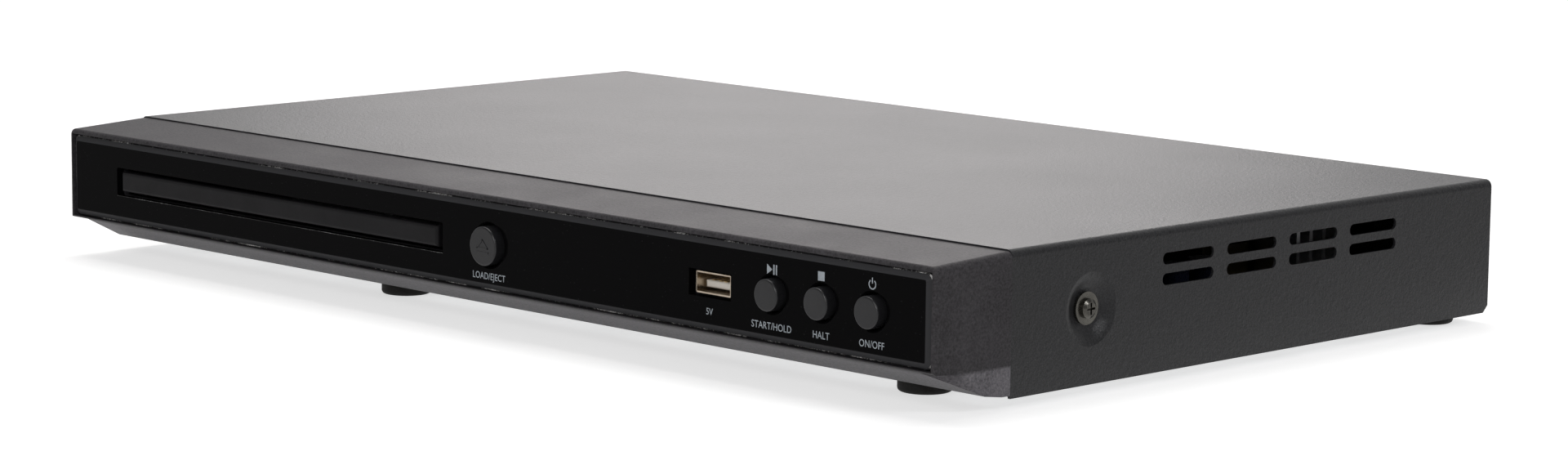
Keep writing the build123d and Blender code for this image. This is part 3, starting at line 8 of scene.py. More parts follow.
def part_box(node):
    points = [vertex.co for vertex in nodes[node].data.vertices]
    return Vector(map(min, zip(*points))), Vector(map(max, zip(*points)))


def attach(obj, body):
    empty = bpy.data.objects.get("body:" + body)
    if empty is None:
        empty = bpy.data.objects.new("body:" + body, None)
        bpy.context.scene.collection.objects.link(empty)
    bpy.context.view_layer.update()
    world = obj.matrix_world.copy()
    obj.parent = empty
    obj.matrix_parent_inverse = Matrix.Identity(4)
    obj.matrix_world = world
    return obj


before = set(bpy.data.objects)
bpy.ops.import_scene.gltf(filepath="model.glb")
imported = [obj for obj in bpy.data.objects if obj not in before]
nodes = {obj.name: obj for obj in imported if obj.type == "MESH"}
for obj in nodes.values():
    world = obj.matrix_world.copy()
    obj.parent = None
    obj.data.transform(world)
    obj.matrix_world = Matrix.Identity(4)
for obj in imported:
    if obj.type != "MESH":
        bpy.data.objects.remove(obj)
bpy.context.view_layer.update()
mm = 0.001

windowLow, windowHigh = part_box("front_window")
doorLow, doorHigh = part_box("tray_door")
faceY = windowLow.y  # the polished front face of the window
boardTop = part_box("main_board")[1].z
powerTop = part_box("power_board")[1].z


def middleOf(node):
    low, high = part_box(node)
    return (low + high) / 2


def startFinish(name):  # an empty material with its shader, and the object coordinates
    material = bpy.data.materials.new(name)
    material.use_nodes = True
    tree = material.node_tree
    tree.nodes.clear()
    shader = tree.nodes.new("ShaderNodeBsdfPrincipled")
    output = tree.nodes.new("ShaderNodeOutputMaterial")
    tree.links.new(shader.outputs["BSDF"], output.inputs["Surface"])
    place = tree.nodes.new("ShaderNodeTexCoord")
    return material, tree, shader, place.outputs["Object"]


def stretched(tree, vector, scale):  # coordinates scaled by axis, so a noise becomes streaks
    mapping = tree.nodes.new("ShaderNodeMapping")
    mapping.inputs["Scale"].default_value = scale
    tree.links.new(vector, mapping.inputs["Vector"])
    return mapping.outputs["Vector"]


def noise(tree, vector, scale, detail=2.0, rough=0.5):  # smooth random field, 0 to 1
    node = tree.nodes.new("ShaderNodeTexNoise")
    node.inputs["Scale"].default_value = scale
    node.inputs["Detail"].default_value = detail
    node.inputs["Roughness"].default_value = rough
    tree.links.new(vector, node.inputs["Vector"])
    return node.outputs["Fac"]


def cells(tree, vector, scale, output="Distance"):  # distance to the nearest seed, or that seed's colour
    node = tree.nodes.new("ShaderNodeTexVoronoi")
    node.inputs["Scale"].default_value = scale
    tree.links.new(vector, node.inputs["Vector"])
    return node.outputs[output]


# straight line from low..high to toLow..toHigh, held at its ends
def spread(tree, value, low, high, toLow=0.0, toHigh=1.0):
    node = tree.nodes.new("ShaderNodeMapRange")
    node.inputs["From Min"].default_value = low
    node.inputs["From Max"].default_value = high
    node.inputs["To Min"].default_value = toLow
    node.inputs["To Max"].default_value = toHigh
    tree.links.new(value, node.inputs["Value"])
    return node.outputs["Result"]


def blendColour(tree, share, first, second):  # first where share is 0, second where it is 1
    node = tree.nodes.new("ShaderNodeMix")
    node.data_type = "RGBA"
    for socket, colour in ((node.inputs[6], first), (node.inputs[7], second)):
        if isinstance(colour, tuple):
            socket.default_value = (*colour, 1.0)
        else:
            tree.links.new(colour, socket)
    tree.links.new(share, node.inputs["Factor"])
    return node.outputs[2]


def combine(tree, kind, first, second):  # sum, product, larger ... of two values
    node = tree.nodes.new("ShaderNodeMath")
    node.operation = kind
    for socket, value in zip(node.inputs, (first, second)):
        if isinstance(value, (int, float)):
            socket.default_value = value
        else:
            tree.links.new(value, socket)
    return node.outputs["Value"]


def axisOf(tree, vector, axis):  # one coordinate of the object's own frame
    node = tree.nodes.new("ShaderNodeSeparateXYZ")
    tree.links.new(vector, node.inputs["Vector"])
    return node.outputs[axis]


def giveColour(tree, shader, colour):
    tree.links.new(colour, shader.inputs["Base Color"])


def giveRoughness(tree, shader, field, low, high):  # the middle of a noise, 0.3 to 0.7, becomes low..high
    tree.links.new(spread(tree, field, 0.3, 0.7, low, high), shader.inputs["Roughness"])


def relief(tree, shader, height, depth, strength):  # bump, depth is the real height of the pattern in metres
    node = tree.nodes.new("ShaderNodeBump")
    node.inputs["Distance"].default_value = depth
    node.inputs["Strength"].default_value = strength
    tree.links.new(height, node.inputs["Height"])
    tree.links.new(node.outputs["Normal"], shader.inputs["Normal"])


coverPaint = {
    "colour": (0.0060, 0.0060, 0.0070), "fleck": (0.0190, 0.0190, 0.0210), "spark": (0.10, 0.10, 0.10),
    "fleckFrom": 0.36, "fleckTo": 0.66, "sparkFrom": 0.86, "sparkTo": 0.89,
    "rough": (0.382, 0.398), "cloud": 22.0, "specular": 0.40,
    "grain": 1700.0, "grainDepth": 0.13 * mm, "grainStrength": 0.8,
}


# powder coat: two fine noises give the orange peel, a third the flecks, a fourth rare sparks
def makeCoverPaint():
    p = coverPaint
    material, tree, shader, at = startFinish("coverPaint")
    fine = noise(tree, at, p["grain"], 3.0, 0.6)
    coarse = noise(tree, at, p["grain"] * 0.45)
    peel = combine(tree, "ADD", fine, coarse)
    fleck = spread(tree, noise(tree, at, p["grain"] * 1.3, 1.0), p["fleckFrom"], p["fleckTo"])
    spark = spread(tree, noise(tree, at, p["grain"] * 1.5, 0.0), p["sparkFrom"], p["sparkTo"])
    cloud = noise(tree, at, p["cloud"])
    flecked = blendColour(tree, fleck, p["colour"], p["fleck"])
    giveColour(tree, shader, blendColour(tree, spark, flecked, p["spark"]))
    giveRoughness(tree, shader, cloud, *p["rough"])
    shader.inputs["Specular IOR Level"].default_value = p["specular"]
    relief(tree, shader, peel, p["grainDepth"], p["grainStrength"])
    return material


bezelPlastic = {
    "colour": (0.026, 0.025, 0.0275), "worn": (0.066, 0.063, 0.068),
    "slowTone": 55.0, "slowShare": 0.35, "grainShare": 0.65,
    "chinPaintedLight": 3.3, "chinStarts": 1.2 * mm, "chinFull": 2.2 * mm,  # both heights below the window; under them the chin is painted paler, painted light reflected from the floor
    "rough": (0.46, 0.54), "specular": 0.150, "specularTint": (1.0, 0.885, 0.84, 1.0),
    "grain": 1500.0, "grainDepth": 0.09 * mm, "grainStrength": 0.8,
}


def makeBezelPlastic():  # spark eroded mould: fine noise for relief and flecks, slow noise for the tone, and painted light on the chin
    p = bezelPlastic
    material, tree, shader, at = startFinish("bezelPlastic")
    spark = noise(tree, at, p["grain"], 2.0, 0.65)
    slow = noise(tree, at, p["slowTone"], 4.0, 0.6)
    slowPart = combine(tree, "MULTIPLY", slow, p["slowShare"])
    tone = combine(tree, "ADD", slowPart, combine(tree, "MULTIPLY", spark, p["grainShare"]))
    share = spread(tree, tone, 0.35, 0.65)
    upper = blendColour(tree, share, p["colour"], p["worn"])
    # the chin under the window, painted paler for the light it reflects from the floor
    lower = blendColour(tree, share, *(tuple(p["chinPaintedLight"] * c for c in p[key]) for key in ("colour", "worn")))
    chinLitShare = spread(tree, axisOf(tree, at, "Z"), windowLow.z - p["chinFull"], windowLow.z - p["chinStarts"], 1.0, 0.0)
    giveColour(tree, shader, blendColour(tree, chinLitShare, upper, lower))
    giveRoughness(tree, shader, slow, *p["rough"])
    shader.inputs["Specular IOR Level"].default_value = p["specular"]
    shader.inputs["Specular Tint"].default_value = p["specularTint"]
    relief(tree, shader, spark, p["grainDepth"], p["grainStrength"])
    return material


windowGloss = {
    "colour": (0.0028, 0.0027, 0.003), "dust": (0.02, 0.02, 0.021), "bevelWithSheen": (0.050, 0.050, 0.053),
    "haze": 38.0, "dustGrain": 1900.0, "dustFrom": 0.80, "dustTo": 0.84,
    "rough": (0.03, 0.07), "bevelRougher": 0.25, "specular": 0.028, "hazeDepth": 0.004 * mm,
}
windowBevel = {"wide": 1.9 * mm, "fall": 1.1 * mm, "soft": 0.1 * mm}  # as it is cut in the window's solid


def makeWindowGloss():  # polished black acrylic: near mirror, fine haze, sparse dust, and a rougher cut bevel painted grey, a painted reflection of the sky
    p, cut = windowGloss, windowBevel
    material, tree, shader, at = startFinish("windowGloss")
    haze = noise(tree, at, p["haze"], 4.0)
    dust = spread(tree, noise(tree, at, p["dustGrain"], 0.0), p["dustFrom"], p["dustTo"])
    sloped = spread(tree, axisOf(tree, at, "Y"), faceY + 0.03 * mm, faceY + 0.12 * mm)
    outside = combine(tree, "ABSOLUTE", axisOf(tree, at, "X"), 0)
    height = axisOf(tree, at, "Z")
    near, far = cut["wide"] + cut["soft"], cut["wide"] - cut["soft"]
    sides = spread(tree, outside, windowHigh.x - near, windowHigh.x - far)
    bottom = spread(tree, height, windowLow.z + far, windowLow.z + near, 1, 0)
    top = spread(tree, height, windowHigh.z - near, windowHigh.z - far)
    edges = combine(tree, "MAXIMUM", sides, combine(tree, "MAXIMUM", bottom, top))
    bevelWithSheen = combine(tree, "MULTIPLY", sloped, edges)
    flat = blendColour(tree, dust, p["colour"], p["dust"])
    # the bevel's grey colour is a painted reflection of the sky
    giveColour(tree, shader, blendColour(tree, bevelWithSheen, flat, p["bevelWithSheen"]))
    polished = spread(tree, haze, 0.3, 0.7, *p["rough"])
    cutRough = combine(tree, "MULTIPLY", bevelWithSheen, p["bevelRougher"])
    tree.links.new(combine(tree, "ADD", polished, cutRough), shader.inputs["Roughness"])
    shader.inputs["Specular IOR Level"].default_value = p["specular"]
    relief(tree, shader, haze, p["hazeDepth"], 0.3)
    return material


# colour, its paler patches, roughness, grain, depth of the grain, specular
mouldings = {
    "doorSatin": ((0.0085, 0.0080, 0.0090), (0.0125, 0.0118, 0.0132), 0.42, 1900.0, 0.02 * mm, 0.14),
    "buttonSatin": ((0.0120, 0.0120, 0.0135), (0.0185, 0.0185, 0.0205), 0.34, 2300.0, 0.03 * mm, 0.50),
    "chipEpoxy": ((0.012, 0.012, 0.013), (0.022, 0.022, 0.023), 0.55, 3200.0, 0.03 * mm, 0.4),
    "inletBlack": ((0.013, 0.013, 0.013), (0.024, 0.024, 0.024), 0.46, 1700.0, 0.03 * mm, 0.4),
    "socketWhite": ((0.80, 0.76, 0.70), (0.72, 0.68, 0.62), 0.35, 1500.0, 0.03 * mm, 0.4),
    "loaderBlack": ((0.014, 0.014, 0.015), (0.024, 0.024, 0.025), 0.5, 1500.0, 0.04 * mm, 0.4),
    "trayBlack": ((0.012, 0.012, 0.013), (0.02, 0.02, 0.021), 0.36, 1300.0, 0.04 * mm, 0.4),
    "gearAcetal": ((0.78, 0.77, 0.72), (0.70, 0.69, 0.63), 0.38, 1200.0, 0.03 * mm, 0.4),
    "turntableBlack": ((0.011, 0.011, 0.011), (0.02, 0.02, 0.02), 0.6, 2200.0, 0.05 * mm, 0.4),
    "sledBlack": ((0.03, 0.03, 0.033), (0.05, 0.05, 0.052), 0.5, 1600.0, 0.04 * mm, 0.4),
}


# matt or satin moulding: grain relief, slow change of tone
def makeMoulded(name, colour, pale, rough, grain, depth, specular):
    material, tree, shader, at = startFinish(name)
    spark = noise(tree, at, grain, 2.0, 0.6)
    tone = noise(tree, at, 90.0, 4.0, 0.6)
    giveColour(tree, shader, blendColour(tree, spread(tree, tone, 0.35, 0.68), colour, pale))
    giveRoughness(tree, shader, spark, rough - 0.05, rough + 0.06)
    shader.inputs["Specular IOR Level"].default_value = specular
    relief(tree, shader, spark, depth, 0.4)
    return material


# colour, its bloom
rubbers = {
    "footRubber": ((0.010, 0.0095, 0.009), (0.034, 0.031, 0.028)),
    "dampRubber": ((0.05, 0.045, 0.05), (0.08, 0.075, 0.08)),
    "beltRubber": ((0.008, 0.008, 0.008), (0.02, 0.02, 0.02)),
}


def makeRubber(name, colour, pale):  # moulded rubber: dull, with grey bloom and fine pits
    material, tree, shader, at = startFinish(name)
    pits = noise(tree, at, 2600.0, 2.0, 0.7)
    bloom = noise(tree, at, 420.0, 4.0, 0.65)
    giveColour(tree, shader, blendColour(tree, spread(tree, bloom, 0.42, 0.7), colour, pale))
    giveRoughness(tree, shader, bloom, 0.62, 0.82)
    shader.inputs["Specular IOR Level"].default_value = 0.35
    relief(tree, shader, pits, 0.08 * mm, 0.5)
    return material


alongX, alongY, alongZ = (40.0, 4000.0, 4000.0), (4000.0, 60.0, 4000.0), (4000.0, 4000.0, 60.0)
# colour, its darker stains, roughness, direction of the streaks
metals = {
    "blackNickel": ((0.15, 0.145, 0.13), (0.07, 0.066, 0.06), 0.26, alongX),
    "zincScrew": ((0.58, 0.58, 0.60), (0.38, 0.38, 0.36), 0.30, alongX),
    "sinkMetal": ((0.66, 0.66, 0.68), (0.5, 0.5, 0.5), 0.36, alongZ),
    "platedBrass": ((0.75, 0.55, 0.26), (0.45, 0.33, 0.16), 0.24, alongX),
    "jackShell": ((0.68, 0.67, 0.64), (0.42, 0.41, 0.38), 0.20, alongX),
    "socketShell": ((0.66, 0.57, 0.46), (0.40, 0.32, 0.24), 0.22, alongX),
    "stampedSteel": ((0.56, 0.56, 0.57), (0.40, 0.40, 0.40), 0.32, alongY),
    "motorCan": ((0.60, 0.60, 0.60), (0.44, 0.44, 0.43), 0.28, (4000.0, 4000.0, 80.0)),
    "groundSteel": ((0.72, 0.72, 0.73), (0.6, 0.6, 0.6), 0.14, (4000.0, 50.0, 4000.0)),
}


def makeBrushed(name, colour, dark, rough, streak):  # rolled or turned metal: noise drawn out along one axis
    material, tree, shader, at = startFinish(name)
    lines = noise(tree, stretched(tree, at, streak), 1.0, 3.0, 0.6)
    stain = noise(tree, at, 160.0, 4.0, 0.6)
    giveColour(tree, shader, blendColour(tree, spread(tree, stain, 0.4, 0.75), colour, dark))
    giveRoughness(tree, shader, lines, rough - 0.08, rough + 0.1)
    shader.inputs["Metallic"].default_value = 1.0
    relief(tree, shader, lines, 0.01 * mm, 0.35)
    return material


zincSheet = {"pale": (0.52, 0.53, 0.54), "dark": (0.33, 0.34, 0.355), "crystal": 130.0, "rough": (0.34, 0.52)}


# galvanised sheet: flat crystals of several millimetres, each with its own tone and roughness
def makeZincSheet():
    p = zincSheet
    material, tree, shader, at = startFinish("zincSheet")
    slow = noise(tree, at, 90.0)
    tone = axisOf(tree, cells(tree, at, p["crystal"], "Color"), "X")
    mixed = combine(tree, "ADD", combine(tree, "MULTIPLY", tone, 0.7), combine(tree, "MULTIPLY", slow, 0.3))
    giveColour(tree, shader, blendColour(tree, mixed, p["dark"], p["pale"]))
    tree.links.new(spread(tree, mixed, 0.0, 1.0, *p["rough"]), shader.inputs["Roughness"])
    shader.inputs["Metallic"].default_value = 0.9
    relief(tree, shader, mixed, 0.01 * mm, 0.3)
    return material


# solder mask, track, pitch of the tracks
boards = {
    "maskGreen": ((0.012, 0.085, 0.035), (0.03, 0.16, 0.07), 520.0),
    "paperTan": ((0.36, 0.21, 0.09), (0.47, 0.30, 0.14), 380.0),
}


# circuit board: mask over tracks, drawn as streaks broken by cells, and a grid
def makeBoard(name, mask, track, pitch):
    material, tree, shader, at = startFinish(name)
    grid = tree.nodes.new("ShaderNodeTexBrick")
    grid.inputs["Scale"].default_value = pitch * 0.5
    grid.inputs["Mortar Size"].default_value = 0.03
    tree.links.new(at, grid.inputs["Vector"])
    streaks = noise(tree, stretched(tree, at, (pitch * 3, pitch * 0.25, 1)), 1.0, 1.0)
    broken = spread(tree, cells(tree, at, pitch), 0.2, 0.6)
    share = combine(tree, "MULTIPLY", spread(tree, streaks, 0.5, 0.56), broken)
    share = combine(tree, "MAXIMUM", share, combine(tree, "MULTIPLY", grid.outputs["Fac"], 0.35))
    giveColour(tree, shader, blendColour(tree, share, mask, track))
    shader.inputs["Roughness"].default_value = 0.36
    relief(tree, shader, share, 0.04 * mm, 0.4)
    return material


plainCan, navySleeve, blackTape = (0.7, 0.7, 0.7), (0.008, 0.011, 0.026), (0.02, 0.02, 0.02)
# roughness, then each band's height and colour from below
sleeves = {
    "capSleeve": (0.3, [
        (0, navySleeve), (boardTop + 8.9 * mm, plainCan), (boardTop + 9.1 * mm, navySleeve),
        (boardTop + 15.9 * mm, plainCan),
    ]),
    "mainsSleeve": (0.3, [(0, (0.01, 0.012, 0.02)), (powerTop + 21.8 * mm, plainCan)]),
    "tapeAndCore": (0.4, [
        (0, (0.02, 0.02, 0.022)), (powerTop + 3 * mm, (0.05, 0.045, 0.045)),
        # the yellow tape is painted dark amber, painted shade from inside the case
        (powerTop + 6 * mm, (0.06, 0.045, 0.012)), (powerTop + 17 * mm, blackTape),
    ]),
}


def makeBanded(name, rough, bands):  # one solid in several colours: each band starts at a height of its own
    material, tree, shader, at = startFinish(name)
    height = axisOf(tree, at, "Z")
    grain = noise(tree, at, 1400.0, 3.0)
    colour = bands[0][1]
    for start, tint in bands[1:]:
        colour = blendColour(tree, spread(tree, height, start - 0.05 * mm, start + 0.05 * mm), colour, tint)
    giveColour(tree, shader, blendColour(tree, spread(tree, grain, 0.3, 0.8, 0.0, 0.25), colour, (0.0, 0.0, 0.0)))
    giveRoughness(tree, shader, grain, rough - 0.06, rough + 0.08)
    relief(tree, shader, grain, 0.02 * mm, 0.25)
    return material


pickupLens = {"blue": (0.30, 0.38, 0.75), "violet": (0.45, 0.35, 0.7), "clear": 0.6}


def makeLens():  # coated lens: clear, with a blue violet film
    p = pickupLens
    material, tree, shader, at = startFinish("lensGlass")
    giveColour(tree, shader, blendColour(tree, noise(tree, at, 500.0), p["blue"], p["violet"]))
    shader.inputs["Roughness"].default_value = 0.04
    shader.inputs["Transmission Weight"].default_value = p["clear"]
    shader.inputs["IOR"].default_value = 1.5
    return material


ribbonFilm = {"between": (0.62, 0.63, 0.65), "wire": (0.75, 0.76, 0.78), "pitch": 160.0}


def makeRibbon():  # flat ribbon: pale film with a raised band over each conductor
    p = ribbonFilm
    material, tree, shader, at = startFinish("ribbonFilm")
    wave = tree.nodes.new("ShaderNodeTexWave")
    wave.inputs["Scale"].default_value = p["pitch"]
    tree.links.new(at, wave.inputs["Vector"])
    raised = wave.outputs["Fac"]
    giveColour(tree, shader, blendColour(tree, spread(tree, raised, 0.3, 0.7), p["between"], p["wire"]))
    shader.inputs["Roughness"].default_value = 0.42
    relief(tree, shader, raised, 0.1 * mm, 0.5)
    return material


labelInk = {"colour": (0.42, 0.46, 0.50), "thin": 0.8}


def makeInk():  # printed ink: darker where it is thin
    p = labelInk
    material, tree, shader, at = startFinish("labelInk")
    uneven = noise(tree, at, 2400.0)
    darker = tuple(p["thin"] * c for c in p["colour"])
    giveColour(tree, shader, blendColour(tree, spread(tree, uneven, 0.4, 0.75), p["colour"], darker))
    giveRoughness(tree, shader, uneven, 0.42, 0.58)
    shader.inputs["Specular IOR Level"].default_value = 0.3
    return material


# dark, painted highlight, and the level of the noise from which it turns to the highlight
sawnEdgeGlints = {
    "windowEdge": ((0.016, 0.016, 0.017), (0.75, 0.74, 0.72), 0.62),
    "slotEdge": ((0.05, 0.05, 0.05), (0.40, 0.40, 0.40), 0.60),
}


# sawn acrylic: painted highlights, the sparks of light where the saw marks catch it, most of them at the right end
def makeSawnEdgeGlint(name, dark, bright, level):
    material, tree, shader, at = startFinish(name)
    marks = noise(tree, at, 1500.0, 3.0, 0.8)
    slow = noise(tree, at, 60.0, 3.0, 0.6)
    rightEndHighlight = spread(tree, axisOf(tree, at, "X"), windowHigh.x - 1.5 * mm, windowHigh.x - 0.3 * mm, 0.0, 0.15)
    both = combine(tree, "ADD", combine(tree, "MULTIPLY", marks, 0.6), combine(tree, "MULTIPLY", slow, 0.6))
    both = combine(tree, "ADD", both, rightEndHighlight)
    giveColour(tree, shader, blendColour(tree, spread(tree, both, level, level + 0.16), dark, bright))
    shader.inputs["Roughness"].default_value = 0.4
    shader.inputs["Specular IOR Level"].default_value = 0.1
    relief(tree, shader, marks, 0.1 * mm, 0.8)
    return material


single = (makeCoverPaint, makeBezelPlastic, makeWindowGloss, makeZincSheet, makeLens, makeRibbon, makeInk)
families = (
    (makeMoulded, mouldings), (makeRubber, rubbers), (makeBrushed, metals), (makeBoard, boards),
    (makeBanded, sleeves), (makeSawnEdgeGlint, sawnEdgeGlints),
)
finishes = {}
for make in single:
    material = make()
    finishes[material.name] = material
for make, members in families:
    for name, values in members.items():
        finishes[name] = make(name, *values)
print("finishes made:", len(finishes))

# the nodes that each finish is on
dressing = {
    "coverPaint": ("top_cover",), "zincSheet": ("chassis_pan",), "bezelPlastic": ("front_bezel",),
    "windowGloss": ("front_window",), "doorSatin": ("tray_door",), "footRubber": ("rubber_feet",),
    "blackNickel": ("side_screws", "rear_screws"), "zincScrew": ("inner_screws", "deck_screws"),
    "maskGreen": ("main_board",), "paperTan": ("power_board", "left_key_board", "right_key_board"),
    "chipEpoxy": ("board_chips", "switch_bodies", "ir_receiver"), "capSleeve": ("board_capacitors",),
    "tapeAndCore": ("transformer",), "mainsSleeve": ("mains_capacitor",), "sinkMetal": ("heat_sink",),
    "inletBlack": ("mains_inlet", "rca_block", "video_socket"), "jackShell": ("rca_shells",),
    "platedBrass": ("inlet_pins", "usb_contacts", "motor_pulley"), "socketShell": ("usb_shell",),
    "socketWhite": ("usb_tongue",), "loaderBlack": ("loader_frame", "lift_frame"),
    "stampedSteel": ("clamper_bridge", "clamper_cap", "traverse_deck"), "beltRubber": ("drive_belt",),
    "motorCan": ("loading_motor", "spindle_motor", "sled_motor", "spindle_rotor"), "ribbonFilm": ("panel_ribbon",),
    "trayBlack": ("disc_tray",), "gearAcetal": ("tray_gear", "pulley_gear", "cam_slider"),
    "dampRubber": ("rubber_dampers",), "groundSteel": ("guide_rods", "lead_screw"),
    "turntableBlack": ("turntable", "clamper_disc"), "sledBlack": ("pickup_sled",), "lensGlass": ("pickup_lens",),
}
finishOfNode = {node: finish for finish, members in dressing.items() for node in members}
for button in ("open_close", "play_pause", "stop", "power"):
    finishOfNode[button + "_button"] = "buttonSatin"
    finishOfNode[button + "_plunger"] = "inletBlack"
for name, node in nodes.items():
    for slot in node.material_slots:
        slot.material = finishes[finishOfNode[name]]
print("nodes dressed:", len(nodes))


def addPiece(name, points, faces, finish, body, slot):
    mesh = bpy.data.meshes.new(name)
    mesh.from_pydata([tuple(p) for p in points], [], [tuple(int(i) for i in f) for f in faces])
    mesh.validate()
    mesh.materials.append(finishes[finish])
    piece = bpy.data.objects.new(name, mesh)
    bpy.context.scene.collection.objects.link(piece)
    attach(piece, body)
    return piece


sunk = 0.01 * mm  # how far a printed or raised mark reaches into what carries it


# each outline (x, z pairs, anticlockwise from the front) becomes a closed slab standing proud of y
def slabs(outlines, y, thick):
    points, faces = [], []
    for outline in outlines:
        ring = np.asarray(outline, float)
        count, start = len(ring), len(points)
        points.extend(np.column_stack([ring[:, 0], np.full(count, y - thick), ring[:, 1]]))
        points.extend(np.column_stack([ring[:, 0], np.full(count, y + sunk), ring[:, 1]]))
        index = np.arange(count)
        after = (index + 1) % count
        faces.append(start + index)
        faces.append(start + count + index[::-1])
        faces.extend(np.column_stack([index, index + count, after + count, after]) + start)
    return points, faces


def arcBand(x, z, inner, outer, fromTurn, toTurn, steps):  # closed band between two arcs
    turn = np.linspace(fromTurn, toTurn, steps)
    wide = np.column_stack([x + outer * np.cos(turn), z + outer * np.sin(turn)])
    narrow = np.column_stack([x + inner * np.cos(turn), z + inner * np.sin(turn)])[::-1]
    return np.vstack([wide, narrow])


def bar(x, z, width, height):  # upright rectangle about its middle
    w, h = width / 2, height / 2
    return [(x - w, z - h), (x + w, z - h), (x + w, z + h), (x - w, z + h)]


def stroke(start, end, width):  # straight stroke between two points, longer by its width, width across it
    a, b = np.array(start, float), np.array(end, float)
    along = (b - a) / np.linalg.norm(b - a)
    across = np.array([-along[1], along[0]]) * width / 2
    tip = along * width / 2
    return [a - across - tip, b - across + tip, b + across + tip, a + across - tip]


inkMarks = {
    "proud": 0.012 * mm, "body": "case", "slot": "window_acrylic",
    "signRise": 6.4 * mm, "playHeight": 2.6 * mm, "playPoint": 0.15 * mm, "playBack": 1.75 * mm,
    "pauseWide": 0.48 * mm, "pauseAt": (0.72 * mm, 1.62 * mm),
    "stopSide": 2.35 * mm, "stopLeft": 0.1 * mm, "stopRise": 0.4 * mm,
    "ringInner": 0.98 * mm, "ringOuter": 1.32 * mm, "ringGap": 0.62, "ringRise": 0.5 * mm,
    "tongueWide": 0.34 * mm, "tongueTall": 1.5 * mm, "tongueRise": 0.95 * mm,
    "wordHeight": 1.9 * mm, "wordDrop": 7.2 * mm, "squeeze": 0.89, "spacing": 1.04, "bolder": 0.012 * mm,
    "capitalShare": 0.72,  # height of a capital in the font's size
}


def addSigns():  # play and pause, stop, and a ring with a stroke for power
    p = inkMarks
    play, stop, power = (middleOf(n + "_button") for n in ("play_pause", "stop", "power"))
    tall, x, z = p["playHeight"], play.x, play.z + p["signRise"]
    back = x - p["playBack"]
    playSign = [[(back, z - tall / 2), (x + p["playPoint"], z), (back, z + tall / 2)]]
    playSign += [bar(x + across, z, p["pauseWide"], tall) for across in p["pauseAt"]]
    stopSign = [bar(stop.x - p["stopLeft"], stop.z + p["signRise"] + p["stopRise"], p["stopSide"], p["stopSide"])]
    x, z, gap = power.x, power.z + p["signRise"] + p["ringRise"], p["ringGap"]
    powerSign = [
        arcBand(x, z, p["ringInner"], p["ringOuter"], math.pi / 2 + gap, math.pi * 2.5 - gap, 40),
        bar(x, z + p["tongueRise"], p["tongueWide"], p["tongueTall"]),
    ]
    for name, sign in (("playSign", playSign), ("stopSign", stopSign), ("powerSign", powerSign)):
        addPiece(name, *slabs(sign, faceY, p["proud"]), "labelInk", p["body"], p["slot"])


def addWord(name, text, x, z, height):  # the letters' outlines, turned upright and set on the window
    p = inkMarks
    curve = bpy.data.curves.new(name, "FONT")
    curve.body = text
    curve.align_x = "CENTER"
    curve.size = height / p["capitalShare"]
    curve.space_character = p["spacing"]
    curve.extrude = p["proud"] / 2
    curve.offset = p["bolder"]
    curve.resolution_u = 4
    draft = bpy.data.objects.new(name + "Draft", curve)
    bpy.context.scene.collection.objects.link(draft)
    bpy.context.view_layer.update()
    mesh = bpy.data.meshes.new_from_object(draft.evaluated_get(bpy.context.evaluated_depsgraph_get()))
    bpy.data.objects.remove(draft)
    upright = Matrix.Rotation(math.pi / 2, 4, "X") @ Matrix.Diagonal((p["squeeze"], 1, 1, 1))
    mesh.transform(Matrix.Translation((x, faceY - p["proud"] / 2, z)) @ upright)
    mesh.name = name
    mesh.materials.clear()
    mesh.materials.append(finishes["labelInk"])
    piece = bpy.data.objects.new(name, mesh)
    bpy.context.scene.collection.objects.link(piece)
    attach(piece, p["body"])


words = (
    {"name": "openWord", "text": "LOAD/EJECT", "button": "open_close", "lower": 0.3 * mm},
    {"name": "playWord", "text": "START/HOLD", "button": "play_pause", "lower": 0.0},
    {"name": "stopWord", "text": "HALT", "button": "stop", "lower": 0.0},
    {"name": "powerWord", "text": "ON/OFF", "button": "power", "lower": 0.0},
)
socketWord = {"name": "socketWord", "text": "5V", "height": 1.8 * mm, "drop": 7.9 * mm}


def addWords():
    p = inkMarks
    for word in words:
        at = middleOf(word["button"] + "_button")
        z = at.z - p["wordDrop"] - word["lower"] - p["wordHeight"]
        addWord(word["name"], word["text"], at.x, z, p["wordHeight"])
    socket = middleOf("usb_shell")
    addWord(socketWord["name"], socketWord["text"], socket.x, socket.z - socketWord["drop"], socketWord["height"])


ejectMark = {
    "stroke": 0.34 * mm, "proud": 0.12 * mm, "half": 2.1 * mm, "tall": 2.2 * mm,
    "baseDrop": 0.5 * mm, "barDrop": 1.7 * mm, "barOverhang": 0.6 * mm, "barTall": 0.5 * mm,
}


def addEjectMark():  # raised outline of a triangle over a bar, on the large button
    p = ejectMark
    low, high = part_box("open_close_button")
    x, z = (low.x + high.x) / 2, (low.z + high.z) / 2
    base, half = z - p["baseDrop"], p["half"]
    left, top, right = (x - half, base), (x, base + p["tall"]), (x + half, base)
    marks = [stroke(a, b, p["stroke"]) for a, b in ((left, top), (top, right), (right, left))]
    marks.append(bar(x, z - p["barDrop"], 2 * half + p["barOverhang"], p["barTall"]))
    addPiece("ejectMark", *slabs(marks, low.y, p["proud"]), "buttonSatin", "open_close_button", "button_plastic")


slotGlintLine = {"tall": 0.10 * mm, "proud": 0.02 * mm, "overhang": 2.3 * mm, "drop": 1.3 * mm}


def addSlotGlintLine():  # a thin strip along the bottom of the tray slot, painted with the highlight that the sawn edge catches
    p = slotGlintLine
    x = (doorLow.x + doorHigh.x) / 2
    wide = doorHigh.x - doorLow.x + 2 * p["overhang"]
    line = bar(x, doorLow.z - p["drop"] - p["tall"], wide, p["tall"])
    addPiece("slotGlintLine", *slabs([line], faceY, p["proud"]), "slotEdge", "case", "window_acrylic")


windowRimGlint = {"width": 0.34 * mm, "lift": 0.03 * mm, "corner": 2.4 * mm}


